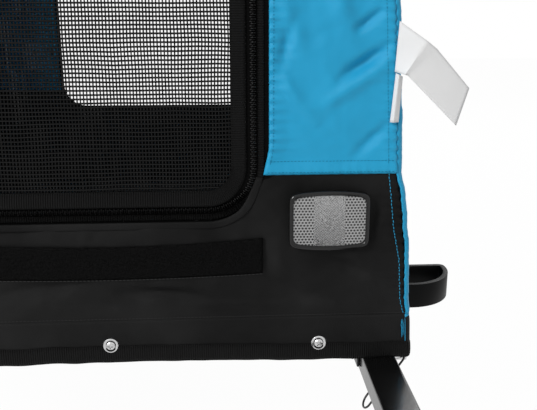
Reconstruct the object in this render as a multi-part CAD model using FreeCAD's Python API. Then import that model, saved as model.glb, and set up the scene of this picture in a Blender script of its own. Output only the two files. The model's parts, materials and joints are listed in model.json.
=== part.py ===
import FreeCAD, Part
import math
import os

V = FreeCAD.Vector
os.makedirs("parts", exist_ok=True)

# Driving dimensions, in millimetres and degrees.
# X is across the trailer with its own left at +X, the front faces -Y, and Z is up from the ground.

# Cabin cloth
BODY_LENGTH = 670.0
HEM_HALF_WIDTH = 312.0
HEM_HEIGHT = 210.0
CABIN_HEIGHT = 585.0
SIDE_LEAN = 4.2
ROOF_CROWN = 16.0
CLOTH = 1.6
COLOUR_SEAM_ABOVE_HEM = 202.0
ROOF_SEAM_DROP = 30.0
SIDE_HEM_LIFT = 1.5

# Front door with its zip, and the rear doorway
DOOR_HALF_WIDTH = 146.0
DOOR_ABOVE_HEM = 165.0
DOOR_HEIGHT = 375.0
DOOR_CORNER = 42.0
DOOR_SIDE_BINDING = 18.0
DOOR_BOTTOM_BINDING = 13.0
DOOR_NET_COLUMNS = 14
DOOR_NET_ROWS = 20
NET_STRAND = 2.4
NET_THICK = 0.8
NET_LAP = 6.0
BINDING_THICK = 1.2
ZIP_WIDTH = 5.0
ZIP_THICK = 2.4
ZIP_CLEARANCE = 0.5
REAR_DOOR_HALF_WIDTH = 178.0
REAR_DOOR_ABOVE_HEM = 172.0
REAR_DOOR_CORNER = 45.0

# Zip slider and its pull
SLIDER_LENGTH = 13.0
SLIDER_WIDTH = 7.0
SLIDER_THICK = 2.2
SLIDER_BELOW_DOOR_TOP = 22.0
SLIDER_BRIDGE = 2.6
SLIDER_EAR = 2.0
PULL_LENGTH = 26.0
PULL_THICK = 1.4
PULL_PIN_RADIUS = 0.7
RUNNING_CLEARANCE = 0.05
SMALL_GAP = 0.3

# Side windows
WINDOW_LENGTH = 470.0
WINDOW_HEIGHT = 250.0
WINDOW_ABOVE_HEM = 265.0
WINDOW_CORNER = 45.0
WINDOW_NET_COLUMNS = 22
WINDOW_NET_ROWS = 12

# Trim on the front and rear cloth
HEM_BINDING_HEIGHT = 19.0
HEM_BINDING_THICK = 1.2
STRIP_HALF_LENGTH = 159.0
STRIP_HEIGHT = 38.0
STRIP_ABOVE_HEM = 113.0
STRIP_THICK = 2.0
REFLECTOR_WIDTH = 82.0
REFLECTOR_HEIGHT = 56.0
REFLECTOR_RIM = 4.0
REFLECTOR_CORNER = 6.0
REFLECTOR_DEPTH = 9.0
REFLECTOR_X = 226.0
REFLECTOR_ABOVE_HEM = 151.0
LENS_DEPTH = 6.0
SCREW_SPACING = 218.0
SCREW_ABOVE_HEM = 18.0
SCREW_RADIUS = 2.0
SCREW_HEAD_RADIUS = 4.6
SCREW_HEAD_HEIGHT = 2.4
SCREW_GRIP = 9.0
WASHER_RADIUS = 8.0
WASHER_THICK = 1.5
LABEL_LENGTH = 88.0
LABEL_WIDTH = 38.0
LABEL_SEWN = 8.0
LABEL_THICK = 0.8
LABEL_ABOVE_HEM = 318.0
LABEL_DROOP = 39.0
SMALL_LABEL_LENGTH = 14.0
SMALL_LABEL_WIDTH = 46.0
LABEL_STEP = 12.0
ROLL_RADIUS = 17.0
ROLL_EXTRA_WIDTH = 14.0
ROLL_ABOVE_DOOR = 24.0
STRAP_WIDTH = 22.0
STRAP_THICK = 1.6
STRAP_SPREAD = 90.0
BOW_RADIUS = 3.0
BOW_COUNT = 3
BOW_END_GAP = 26.0

# Base of square tube
BASE_TUBE = 25.0
BASE_WALL = 1.5
CLOTH_TO_TUBE = 0.7
FLOOR_THICK = 6.0
FLOOR_SIDE_GAP = 2.0
CROSS_TUBES = 2

# Folding side frames of round tube
TUBE_RADIUS = 9.5
TUBE_WALL = 1.5
TUBE_TO_CLOTH = 4.0
TOP_BEND = 50.0
POST_FROM_END = 30.0
NEST_STEP = 24.0
FOLD_STEP = 22.0
RAIL_STUB = 30.0
SPIGOT_LENGTH = 40.0
SPIGOT_COLLAR = 4.0
PIVOT_RADIUS = 4.0
PIVOT_ABOVE_RAIL = 20.5
POST_FOOT = 12.0
BRACKET_PLATE = 3.0
BRACKET_GAP = 0.8
BRACKET_HALF_WIDTH = 11.0
PIN_HEAD_RADIUS = 6.5
PIN_HEAD = 2.5

# Wheels and axle
TYRE_RADIUS = 200.0
TYRE_WIDTH = 44.0
TYRE_WALL = 3.5
TYRE_TREAD = 5.6
TYRE_SHOULDER_OUT = 0.82
TYRE_SHOULDER_UP = 0.66
RIM_RADIUS = 153.0
RIM_WIDTH = 28.0
RIM_DEPTH = 13.0
RIM_WALL = 2.0
RIM_WELL_HALF_WIDTH = 4.7
SPOKE_STAGGER = 2.3
WHEEL_X = 353.0
AXLE_FROM_FRONT = 475.0
AXLE_TUBE = 20.0
AXLE_WALL = 2.0
AXLE_RADIUS = 6.0
AXLE_PIN_INSET = 56.0
BUSH_FLANGE_RADIUS = 14.0
BUSH_FLANGE = 8.0
AXLE_TUBE_PAST_RAIL = 13.0
HUB_GAP = 1.0
HUB_HALF_LENGTH = 26.0
HUB_RADIUS = 13.0
FLANGE_RADIUS = 23.0
FLANGE_THICK = 3.0
FLANGE_FROM_CENTRE = 19.0
SPOKE_COUNT = 20
SPOKE_RADIUS = 1.1
SPOKE_HOLE_RADIUS = 19.0
SPOKE_SWING = 62.0
AXLE_HEAD_RADIUS = 12.0
AXLE_HEAD = 9.0
BUTTON_RADIUS = 4.0
BUTTON_LENGTH = 5.5
BUTTON_PROUD = 3.6
SADDLE_LENGTH = 40.0
SADDLE_HEIGHT = 5.5

# Wheel guards, a band bent to a D ahead of each wheel
GUARD_REACH = 404.0
GUARD_FRONT = 112.0
GUARD_DEPTH = 70.0
GUARD_HEIGHT = 30.0
GUARD_BAND = 6.0
GUARD_STRAIGHT = 345.0
GUARD_BULGE = 0.27
GUARD_CORNER = 7.5
GUARD_CUT_GAP = 1.5
GUARD_BOLT_RADIUS = 3.0
GUARD_BOLT_SHARES = (0.3, 0.7)
BOLT_HEAD_RADIUS = 5.5
BOLT_HEAD = 3.5

# Tow bar of rectangular tube, its receiver, lock pin and hitch
BAR_WIDTH = 36.0
BAR_HEIGHT = 25.0
BAR_WALL = 2.0
BAR_CORNER = 3.2
BAR_X = 284.0
BAR_BELOW_HEM = 4.0
BAR_INSERT = 165.0
BAR_STRAIGHT = 190.0
BAR_BEND = 90.0
BAR_SWEEP_END = 400.0
BAR_END = 470.0
BAR_END_X = 120.0
BAR_RISE = 110.0
BAR_CLEARANCE = 0.3
RECEIVER_WALL = 2.5
RECEIVER_FRONT = 16.0
RECEIVER_CHEEK = 34.0
RECEIVER_CHEEK_DROP = 7.0
RECEIVER_BACK = 7.0
LOCK_PIN_RADIUS = 4.0
LOCK_PIN_FROM_FRONT = 30.0
LOCK_PIN_TAIL = 2.0
LOCK_HEAD_RADIUS = 6.5
LOCK_HEAD = 15.0
BAIL_WIRE = 1.2
BAIL_LENGTH = 77.0
BAIL_HALF_WIDTH = 9.5
BAIL_BEND = 3.0
BAIL_HANG = 57.0
PLUG_INSERT = 40.0
YAW_RADIUS = 5.0
YAW_FROM_TUBE = 20.0
YOKE_PLATE = 4.0
YOKE_GAP = 0.4
YOKE_SWING_GAP = 1.0
YOKE_LUG = 14.0
PITCH_RADIUS = 4.0
PITCH_FROM_YAW = 38.0
HITCH_PLATE = 5.0
HITCH_PLATE_HALF_HEIGHT = 14.0
HITCH_REACH = 50.0
HITCH_BORE = 5.1

# Places worked out from the driving dimensions
LEAN = math.radians(SIDE_LEAN)
ROOF_EDGE = HEM_HEIGHT + CABIN_HEIGHT
ROOF_HALF = HEM_HALF_WIDTH - math.tan(LEAN) * CABIN_HEIGHT
ROOF_RADIUS = (ROOF_HALF ** 2 + ROOF_CROWN ** 2) / (2 * ROOF_CROWN)
ROOF_CENTRE = ROOF_EDGE + ROOF_CROWN - ROOF_RADIUS
FRAME_INSET = CLOTH + TUBE_TO_CLOTH + TUBE_RADIUS
ROLL_OFF = ROLL_RADIUS + STRAP_THICK + 2 * SMALL_GAP
REAR_REACH = ROLL_OFF + ROLL_RADIUS + SMALL_GAP + STRAP_THICK
HITCH_FRONT = BAR_END + YAW_FROM_TUBE + PITCH_FROM_YAW + HITCH_REACH + HITCH_PLATE_HALF_HEIGHT
FRONT = (HITCH_FRONT - BODY_LENGTH - REAR_REACH) / 2
REAR = FRONT + BODY_LENGTH
MIDDLE = (FRONT + REAR) / 2
COLOUR_SEAM = HEM_HEIGHT + COLOUR_SEAM_ABOVE_HEM
DOOR_BOTTOM = HEM_HEIGHT + DOOR_ABOVE_HEM
DOOR_TOP = DOOR_BOTTOM + DOOR_HEIGHT
REAR_DOOR_BOTTOM = HEM_HEIGHT + REAR_DOOR_ABOVE_HEM
ZIP_SPACE = ZIP_WIDTH + 2 * ZIP_CLEARANCE
OPENING_HALF = DOOR_HALF_WIDTH + ZIP_SPACE
BASE_Z = HEM_HEIGHT + SCREW_ABOVE_HEM
BASE_TOP = BASE_Z + BASE_TUBE / 2
BASE_BOTTOM = BASE_Z - BASE_TUBE / 2
TUBE_FRONT = FRONT + CLOTH + CLOTH_TO_TUBE
TUBE_REAR = REAR - CLOTH - CLOTH_TO_TUBE
RIGHT_PIVOT_Z = BASE_TOP + PIVOT_ABOVE_RAIL
LEFT_PIVOT_Z = RIGHT_PIVOT_Z + FOLD_STEP
AXLE_Y = FRONT + AXLE_FROM_FRONT
AXLE_Z = BASE_BOTTOM - SADDLE_HEIGHT - AXLE_TUBE / 2
BAR_Z = HEM_HEIGHT - BAR_BELOW_HEM - BAR_HEIGHT / 2
LOCK_Y = FRONT + LOCK_PIN_FROM_FRONT
FAR = 2000.0
SHORTEST_RUN = 0.01
CUT_PAST = 1.0


def frame_x(z):
    """Distance from the middle to a side frame's centre line at a height."""
    return HEM_HALF_WIDTH - FRAME_INSET / math.cos(LEAN) - math.tan(LEAN) * (z - HEM_HEIGHT)


RAIL_X = frame_x(RIGHT_PIVOT_Z)
RAIL_OUT = RAIL_X + BASE_TUBE / 2
RAIL_IN = RAIL_X - BASE_TUBE / 2


def box(x0, x1, y0, y1, z0, z1):
    return Part.makeBox(x1 - x0, y1 - y0, z1 - z0, V(x0, y0, z0))


def rod(start, end, radius):
    return Part.makeCylinder(radius, (end - start).Length, start, end - start)


def pipe(start, end, radius, bore):
    return rod(start, end, radius).cut(rod(start, end, bore))


def mirrored(shape):
    return shape.mirror(V(0, 0, 0), V(1, 0, 0))


def both_sides(shape):
    return [shape, mirrored(shape)]


def save(name, *solids):
    shape = solids[0] if len(solids) == 1 else Part.makeCompound(list(solids))
    shape.exportStep("parts/" + name + ".step")


def ring_face(centre, direction, radius, bore):
    """A round tube's cross-section, square to a direction."""
    outer = Part.Wire(Part.makeCircle(radius, centre, direction))
    inner = Part.Wire(Part.makeCircle(bore, centre, direction))
    return Part.makeFace([outer, inner], "Part::FaceMakerBullseye")


def bent_bar(points, bend, face):
    """Carry a face along straight runs joined by tangent arcs."""
    pieces = []
    here = points[0]
    for before, corner, after in zip(points, points[1:], points[2:]):
        come = (corner - before).normalize()
        leave = (after - corner).normalize()
        turn = come.getAngle(leave)
        tangent = bend * math.tan(turn / 2)
        run_end = corner - come * tangent
        if (run_end - here).Length > SHORTEST_RUN:
            pieces.append(face.extrude(run_end - here))
            face = face.translated(run_end - here)
        axis = come.cross(leave).normalize()
        centre = run_end + axis.cross(come) * bend
        pieces.append(face.revolve(centre, axis, math.degrees(turn)))
        face = face.rotated(centre, axis, math.degrees(turn))
        here = corner + leave * tangent
    if (points[-1] - here).Length > SHORTEST_RUN:
        pieces.append(face.extrude(points[-1] - here))
    return pieces[0].fuse(pieces[1:]).removeSplitter()


def rounded_wire(half_width, bottom, top, corner, y, round_top=False):
    """A door's outline in the XZ plane: two lower corners are round, and the upper ones too if asked."""
    high = corner if round_top else 0.0
    slant = corner * math.sqrt(0.5)
    edges = [
        Part.makeLine(V(-half_width + corner, y, bottom), V(half_width - corner, y, bottom)),
        Part.Arc(
            V(half_width - corner, y, bottom),
            V(half_width - corner + slant, y, bottom + corner - slant),
            V(half_width, y, bottom + corner),
        ).toShape(),
        Part.makeLine(V(half_width, y, bottom + corner), V(half_width, y, top - high)),
    ]
    if round_top:
        edges.append(
            Part.Arc(
                V(half_width, y, top - corner),
                V(half_width - corner + slant, y, top - corner + slant),
                V(half_width - corner, y, top),
            ).toShape()
        )
    edges.append(Part.makeLine(V(half_width - high, y, top), V(-half_width + high, y, top)))
    if round_top:
        edges.append(
            Part.Arc(
                V(-half_width + corner, y, top),
                V(-half_width + corner - slant, y, top - corner + slant),
                V(-half_width, y, top - corner),
            ).toShape()
        )
    edges.append(Part.makeLine(V(-half_width, y, top - high), V(-half_width, y, bottom + corner)))
    edges.append(
        Part.Arc(
            V(-half_width, y, bottom + corner),
            V(-half_width + corner - slant, y, bottom + corner - slant),
            V(-half_width + corner, y, bottom),
        ).toShape()
    )
    return Part.Wire(edges)


def rounded_plate(half_width, bottom, top, corner, y0, y1, round_top=False):
    wire = rounded_wire(half_width, bottom, top, corner, y0, round_top)
    return Part.Face(wire).extrude(V(0, y1 - y0, 0))


def net(half_width, bottom, top, corner, columns, rows, y, round_top=False):
    """A flat net: one face with a grid of square holes, those at a round corner left out."""
    outer = rounded_wire(half_width, bottom, top, corner, y, round_top)
    plain = Part.Face(outer)
    step_x = 2 * (half_width - NET_LAP) / columns
    step_z = (top - bottom - 2 * NET_LAP) / rows
    wires = [outer]
    for column in range(columns):
        x0 = -half_width + NET_LAP + column * step_x + NET_STRAND / 2
        x1 = x0 + step_x - NET_STRAND
        for row in range(rows):
            z0 = bottom + NET_LAP + row * step_z + NET_STRAND / 2
            z1 = z0 + step_z - NET_STRAND
            corners = [V(x0, y, z0), V(x1, y, z0), V(x1, y, z1), V(x0, y, z1)]
            if all(plain.isInside(point, SHORTEST_RUN, True) for point in corners):
                wires.append(Part.makePolygon(corners + corners[:1]))
    return Part.makeFace(wires, "Part::FaceMakerBullseye").extrude(V(0, NET_THICK, 0))


def shoulder_centre():
    """Centre of the round edge between a side and the roof, where the top rail runs."""
    half = HEM_HALF_WIDTH - FRAME_INSET / math.cos(LEAN)
    slope = math.tan(LEAN)
    roof = ROOF_RADIUS - FRAME_INSET
    # The rail's side line meets its roof arc where (half - slope * rise)^2 + (rise - centre)^2 = roof^2
    centre = ROOF_CENTRE - HEM_HEIGHT
    a = 1 + slope ** 2
    b = -2 * (half * slope + centre)
    c = half ** 2 + centre ** 2 - roof ** 2
    rise = (-b + math.sqrt(b * b - 4 * a * c)) / (2 * a)
    return half - slope * rise, HEM_HEIGHT + rise


SHOULDER_X, SHOULDER_Z = shoulder_centre()


def cabin_block(inset, y0, y1, bottom):
    """The cabin's cross-section, drawn in by an inset and run from y0 to y1."""
    foot_x = HEM_HALF_WIDTH - inset / math.cos(LEAN) - math.tan(LEAN) * (bottom - HEM_HEIGHT)
    bend = FRAME_INSET - inset
    out = V(math.cos(LEAN), 0, math.sin(LEAN))
    up = V(SHOULDER_X, 0, SHOULDER_Z - ROOF_CENTRE).normalize()
    centre = V(SHOULDER_X, y0, SHOULDER_Z)
    left = [V(foot_x, y0, bottom)]
    left += [centre + direction * bend for direction in (out, (out + up).normalize(), up)]
    right = [V(-point.x, point.y, point.z) for point in left]
    outline = Part.Wire([
        Part.makeLine(right[0], left[0]),
        Part.makeLine(left[0], left[1]),
        Part.Arc(left[1], left[2], left[3]).toShape(),
        Part.Arc(left[3], V(0, y0, ROOF_CENTRE + ROOF_RADIUS - inset), right[3]).toShape(),
        Part.Arc(right[3], right[2], right[1]).toShape(),
        Part.makeLine(right[1], right[0]),
    ])
    return Part.Face(outline).extrude(V(0, y1 - y0, 0))


def square_tube(x0, x1, y0, y1, z0, z1, wall, along):
    """A square tube whose bore runs along X or Y."""
    grow_x = (0, 0) if along == "x" else (wall, -wall)
    grow_y = (0, 0) if along == "y" else (wall, -wall)
    bore = box(x0 + grow_x[0], x1 + grow_x[1], y0 + grow_y[0], y1 + grow_y[1], z0 + wall, z1 - wall)
    return box(x0, x1, y0, y1, z0, z1).cut(bore)


# Base: end tubes, side rails, floor supports and floor

screw_places = [
    (x, side) for side in (-1, 1) for x in (-SCREW_SPACING, 0.0, SCREW_SPACING)
]


def screw_hole(x, side, radius):
    outside = FRONT if side < 0 else REAR
    reach = SCREW_GRIP + SCREW_HEAD_HEIGHT
    return rod(V(x, outside + side * reach, BASE_Z), V(x, outside - side * reach, BASE_Z), radius)


screw_holes = [screw_hole(x, side, SCREW_RADIUS + RUNNING_CLEARANCE) for x, side in screw_places]
end_tubes = [
    square_tube(-RAIL_OUT, RAIL_OUT, y, y + BASE_TUBE, BASE_BOTTOM, BASE_TOP, BASE_WALL, "x").cut(screw_holes)
    for y in (TUBE_FRONT, TUBE_REAR - BASE_TUBE)
]
rail_front = TUBE_FRONT + BASE_TUBE
rail_rear = TUBE_REAR - BASE_TUBE
cross_step = (rail_rear - rail_front) / (CROSS_TUBES + 1)
cross_tubes = [
    square_tube(
        -RAIL_IN, RAIL_IN,
        rail_front + (n + 1) * cross_step - BASE_TUBE / 2, rail_front + (n + 1) * cross_step + BASE_TUBE / 2,
        BASE_BOTTOM, BASE_TOP, BASE_WALL, "x",
    )
    for n in range(CROSS_TUBES)
]
save("base_cross_tubes", *end_tubes, *cross_tubes)

guard_bolt_places = [FRONT + GUARD_FRONT + GUARD_DEPTH * share for share in GUARD_BOLT_SHARES]
bolt_bores = [
    rod(V(0, y, BASE_Z), V(RAIL_OUT + GUARD_BAND, y, BASE_Z), GUARD_BOLT_RADIUS + RUNNING_CLEARANCE)
    for y in guard_bolt_places
]
side_rail = square_tube(
    RAIL_IN, RAIL_OUT, rail_front, rail_rear, BASE_BOTTOM, BASE_TOP, BASE_WALL, "y"
).cut(bolt_bores)
save("base_side_rails", *both_sides(side_rail))

floor_half = frame_x(LEFT_PIVOT_Z) - BRACKET_HALF_WIDTH - FLOOR_SIDE_GAP
save(
    "floor_board",
    box(-floor_half, floor_half, TUBE_FRONT, TUBE_REAR, BASE_TOP, BASE_TOP + FLOOR_THICK),
)

# Axle under the rails, with a plain bush at each end for the wheel's pin
axle_end = RAIL_OUT + AXLE_TUBE_PAST_RAIL
axle_half = AXLE_TUBE / 2
axle_tube = square_tube(
    -axle_end, axle_end, AXLE_Y - axle_half, AXLE_Y + axle_half, AXLE_Z - axle_half, AXLE_Z + axle_half,
    AXLE_WALL, "x",
)
saddle = box(
    RAIL_IN, RAIL_OUT, AXLE_Y - SADDLE_LENGTH / 2, AXLE_Y + SADDLE_LENGTH / 2, AXLE_Z + axle_half, BASE_BOTTOM
)
save("axle_tube", axle_tube.fuse(both_sides(saddle)).removeSplitter())

bush_end = axle_end + BUSH_FLANGE
bush_half = axle_half - AXLE_WALL
pin_inner = axle_end - AXLE_PIN_INSET
axle_bore = rod(V(0, AXLE_Y, AXLE_Z), V(FAR, AXLE_Y, AXLE_Z), AXLE_RADIUS + RUNNING_CLEARANCE)
bush = box(
    pin_inner - bush_half, axle_end,
    AXLE_Y - bush_half, AXLE_Y + bush_half, AXLE_Z - bush_half, AXLE_Z + bush_half,
)
bush_flange = rod(V(axle_end, AXLE_Y, AXLE_Z), V(bush_end, AXLE_Y, AXLE_Z), BUSH_FLANGE_RADIUS)
save("axle_bushes", *both_sides(bush.fuse(bush_flange).cut(axle_bore)))

# Wheel guards bolted to the rails


def guard():
    back = FRONT + GUARD_FRONT + GUARD_DEPTH
    lead = FRONT + GUARD_FRONT
    tip_y = back - GUARD_CORNER
    slant = GUARD_CORNER * (1 - math.sqrt(0.5))
    bulge_x = GUARD_REACH - GUARD_BULGE * (GUARD_REACH - GUARD_STRAIGHT)
    bulge = V(bulge_x, lead + GUARD_BULGE * (tip_y - lead), 0)
    start, bend = V(RAIL_OUT, lead, 0), V(GUARD_STRAIGHT, lead, 0)
    tip, turn = V(GUARD_REACH, tip_y, 0), V(GUARD_REACH - GUARD_CORNER, back, 0)
    outline = Part.Wire([
        Part.makeLine(start, bend),
        Part.Arc(bend, bulge, tip).toShape(),
        Part.Arc(tip, V(GUARD_REACH - slant, back - slant, 0), turn).toShape(),
        Part.makeLine(turn, V(RAIL_OUT, back, 0)),
        Part.makeLine(V(RAIL_OUT, back, 0), start),
    ])
    loop = Part.Face(outline).cut(Part.Face(outline.makeOffset2D(-GUARD_BAND)))
    low = BASE_Z - GUARD_HEIGHT / 2
    return loop.Faces[0].translated(V(0, 0, low)).extrude(V(0, 0, GUARD_HEIGHT)).cut(bolt_bores)


wheel_guard = guard()
save("wheel_guards", *both_sides(wheel_guard))
guard_bolts = [
    rod(V(RAIL_IN, y, BASE_Z), V(RAIL_OUT + GUARD_BAND, y, BASE_Z), GUARD_BOLT_RADIUS).fuse(
        rod(V(RAIL_IN - BOLT_HEAD, y, BASE_Z), V(RAIL_IN, y, BASE_Z), BOLT_HEAD_RADIUS)
    )
    for y in guard_bolt_places
]
save("guard_bolts", *[bolt for one in guard_bolts for bolt in both_sides(one)])

# Folding side frames: the right one stands inside the left one along Y, so that both lie flat on the floor
FRAME_LENGTH = (SHOULDER_Z - LEFT_PIVOT_Z) / math.cos(LEAN)


def side_frame(pivot_z, inset):
    """Two posts and the bent top rail of a frame, standing at +X."""
    up = V(-math.sin(LEAN), 0, math.cos(LEAN))
    front, rear = FRONT + inset, REAR - inset
    bore = TUBE_RADIUS - TUBE_WALL
    posts, feet = [], []
    for y in (front, rear):
        pivot = V(frame_x(pivot_z), y, pivot_z)
        feet.append(pivot)
        post_top = pivot + up * (FRAME_LENGTH - TOP_BEND - RAIL_STUB)
        hole = rod(pivot - V(0, FAR, 0), pivot + V(0, FAR, 0), PIVOT_RADIUS + RUNNING_CLEARANCE)
        posts.append(pipe(pivot - up * POST_FOOT, post_top, TUBE_RADIUS, bore).cut(hole))
    corners = [foot + up * FRAME_LENGTH for foot in feet]
    starts = [foot + up * (FRAME_LENGTH - TOP_BEND - RAIL_STUB) for foot in feet]
    path = [starts[0], corners[0], corners[1], starts[1]]
    rail = bent_bar(path, TOP_BEND, ring_face(starts[0], up, TUBE_RADIUS, bore))
    spigots = [
        rod(start - up * SPIGOT_LENGTH, start, bore - RUNNING_CLEARANCE).fuse(
            rod(start, start + up * SPIGOT_COLLAR, TUBE_RADIUS - TUBE_WALL / 2)
        )
        for start in starts
    ]
    return posts, rail.fuse(spigots)


def hinge_bracket(pivot_z, y):
    x = frame_x(pivot_z)
    half = TUBE_RADIUS + BRACKET_GAP
    outer = half + BRACKET_PLATE
    top = pivot_z + BRACKET_HALF_WIDTH
    low_x, high_x = x - BRACKET_HALF_WIDTH, x + BRACKET_HALF_WIDTH
    bracket = box(low_x, high_x, y - outer, y + outer, BASE_TOP, top)
    slot = box(low_x, high_x, y - half, y + half, BASE_TOP + BRACKET_PLATE, top)
    hole = rod(V(x, y - outer, pivot_z), V(x, y + outer, pivot_z), PIVOT_RADIUS)
    return bracket.cut([slot, hole])


def hinge_pin(pivot_z, y):
    x = frame_x(pivot_z)
    outer = TUBE_RADIUS + BRACKET_GAP + BRACKET_PLATE
    pin = rod(V(x, y - outer, pivot_z), V(x, y + outer, pivot_z), PIVOT_RADIUS)
    heads = [
        rod(V(x, y + side * outer, pivot_z), V(x, y + side * (outer + PIN_HEAD), pivot_z), PIN_HEAD_RADIUS)
        for side in (-1, 1)
    ]
    return pin.fuse(heads)


brackets, hinge_pins = [], []
for name, pivot_z, inset in (
    ("left", LEFT_PIVOT_Z, POST_FROM_END),
    ("right", RIGHT_PIVOT_Z, POST_FROM_END + NEST_STEP),
):
    turn = (lambda shape: shape) if name == "left" else mirrored
    frame_posts, frame_rail = side_frame(pivot_z, inset)
    save(name + "_posts", *[turn(post) for post in frame_posts])
    save(name + "_top_rail", turn(frame_rail))
    for y in (FRONT + inset, REAR - inset):
        brackets.append(turn(hinge_bracket(pivot_z, y)))
        hinge_pins.append(turn(hinge_pin(pivot_z, y)))
save("hinge_brackets", *brackets)
save("hinge_pins", *hinge_pins)

# Cabin cloth: two end faces, two sides and the roof, cut from one shell
front_sheet = cabin_block(0.0, FRONT, FRONT + CLOTH, HEM_HEIGHT)
rear_sheet = cabin_block(0.0, REAR - CLOTH, REAR, HEM_HEIGHT)
sleeve = cabin_block(0.0, FRONT + CLOTH, REAR - CLOTH, HEM_HEIGHT).cut(
    cabin_block(CLOTH, FRONT - CUT_PAST, REAR + CUT_PAST, HEM_HEIGHT - CUT_PAST)
)
roof_seam = ROOF_EDGE - ROOF_SEAM_DROP


def end_panels(sheet, y, half_width, bottom, corner):
    """An end face: a lower panel, two side panels and a header round a doorway."""
    doorway = rounded_plate(half_width, bottom, DOOR_TOP, corner, y - CUT_PAST, y + CLOTH + CUT_PAST)
    holes = [doorway] + screw_holes
    lower = sheet.common(box(-FAR, FAR, -FAR, FAR, 0, COLOUR_SEAM)).cut(holes)
    upper = sheet.common(box(half_width, FAR, -FAR, FAR, COLOUR_SEAM, DOOR_TOP))
    header = sheet.common(box(-FAR, FAR, -FAR, FAR, DOOR_TOP, FAR))
    return lower, both_sides(upper), header


front_lower, front_sides, front_header = end_panels(
    front_sheet, FRONT, OPENING_HALF, DOOR_BOTTOM - ZIP_SPACE, DOOR_CORNER + ZIP_SPACE
)
rear_lower, rear_sides, rear_header = end_panels(
    rear_sheet, REAR - CLOTH, REAR_DOOR_HALF_WIDTH, REAR_DOOR_BOTTOM, REAR_DOOR_CORNER
)
save("front_lower_panel", front_lower)
save("rear_lower_panel", rear_lower)
save("front_side_panels", *front_sides)
save("rear_side_panels", *rear_sides)
save("door_headers", front_header, rear_header)


def on_left_side(shape, depth):
    """Lay a shape drawn in the XZ plane, with its back to +Y, against the left side cloth."""
    laid = shape.rotated(V(0, 0, 0), V(0, 0, 1), 90)
    laid = laid.translated(V(HEM_HALF_WIDTH - depth / math.cos(LEAN), MIDDLE, HEM_HEIGHT))
    return laid.rotated(V(HEM_HALF_WIDTH - depth / math.cos(LEAN), 0, HEM_HEIGHT), V(0, 1, 0), -SIDE_LEAN)


window_top = WINDOW_ABOVE_HEM + WINDOW_HEIGHT
window_cut = on_left_side(
    rounded_plate(WINDOW_LENGTH / 2, WINDOW_ABOVE_HEM, window_top, WINDOW_CORNER, -CLOTH, 2 * CLOTH, True),
    0.0,
)
guard_box = wheel_guard.BoundBox
guard_cut = box(
    0, FAR, guard_box.YMin - GUARD_CUT_GAP, guard_box.YMax + GUARD_CUT_GAP, 0, guard_box.ZMax + GUARD_CUT_GAP
)
left_side = sleeve.common(box(0, FAR, -FAR, FAR, HEM_HEIGHT + SIDE_HEM_LIFT, roof_seam)).cut(
    [window_cut, guard_cut]
)
save("left_side_panel", left_side)
save("right_side_panel", mirrored(left_side))
save("roof_panel", sleeve.common(box(-FAR, FAR, -FAR, FAR, roof_seam, FAR)))
window_net = on_left_side(
    net(
        WINDOW_LENGTH / 2 + NET_LAP, WINDOW_ABOVE_HEM - NET_LAP, window_top + NET_LAP, WINDOW_CORNER,
        WINDOW_NET_COLUMNS, WINDOW_NET_ROWS, 0.0, True,
    ),
    CLOTH,
)
save("window_nets", *both_sides(window_net))


def roof_bow(y):
    """A sprung rod just under the roof cloth, from shoulder to shoulder."""
    radius = ROOF_RADIUS - CLOTH - SMALL_GAP - BOW_RADIUS
    half_turn = math.asin((ROOF_HALF - BOW_END_GAP) / radius)
    ends = [
        V(side * radius * math.sin(half_turn), y, ROOF_CENTRE + radius * math.cos(half_turn))
        for side in (-1, 1)
    ]
    tangent = V(math.cos(half_turn), 0, math.sin(half_turn))
    section = Part.Face(Part.Wire(Part.makeCircle(BOW_RADIUS, ends[0], tangent)))
    return section.revolve(V(0, y, ROOF_CENTRE), V(0, 1, 0), math.degrees(2 * half_turn))


bow_span = BODY_LENGTH - 2 * (POST_FROM_END + NEST_STEP + TOP_BEND)
bow_places = [MIDDLE + bow_span * (n / (BOW_COUNT - 1) - 0.5) for n in range(BOW_COUNT)]
save("roof_bows", *[roof_bow(y) for y in bow_places])

# Front door: a net leaf with a bound edge, closed by a zip all round but the top
leaf_back = FRONT + BINDING_THICK
leaf = rounded_plate(DOOR_HALF_WIDTH, DOOR_BOTTOM, DOOR_TOP - SMALL_GAP, DOOR_CORNER, FRONT, leaf_back)
net_half = DOOR_HALF_WIDTH - DOOR_SIDE_BINDING
net_bottom = DOOR_BOTTOM + DOOR_BOTTOM_BINDING
net_top = DOOR_TOP - DOOR_BOTTOM_BINDING
net_corner = DOOR_CORNER - DOOR_BOTTOM_BINDING
window = rounded_plate(net_half, net_bottom, net_top, net_corner, FRONT - CUT_PAST, leaf_back + CUT_PAST)
save("front_door_binding", leaf.cut(window))
save(
    "front_door_net",
    net(
        net_half + NET_LAP, net_bottom - NET_LAP, net_top + NET_LAP, net_corner + NET_LAP,
        DOOR_NET_COLUMNS, DOOR_NET_ROWS, leaf_back,
    ),
)
zip_front = FRONT + CLOTH / 2 - ZIP_THICK / 2
zip_out = rounded_plate(
    DOOR_HALF_WIDTH + ZIP_CLEARANCE + ZIP_WIDTH, DOOR_BOTTOM - ZIP_CLEARANCE - ZIP_WIDTH, DOOR_TOP,
    DOOR_CORNER + ZIP_CLEARANCE + ZIP_WIDTH, zip_front, zip_front + ZIP_THICK,
)
zip_in = rounded_plate(
    DOOR_HALF_WIDTH + ZIP_CLEARANCE, DOOR_BOTTOM - ZIP_CLEARANCE, DOOR_TOP + CUT_PAST,
    DOOR_CORNER + ZIP_CLEARANCE, FRONT - ZIP_THICK, FRONT + 2 * ZIP_THICK,
)
save("front_zip_coil", zip_out.cut(zip_in))

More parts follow.
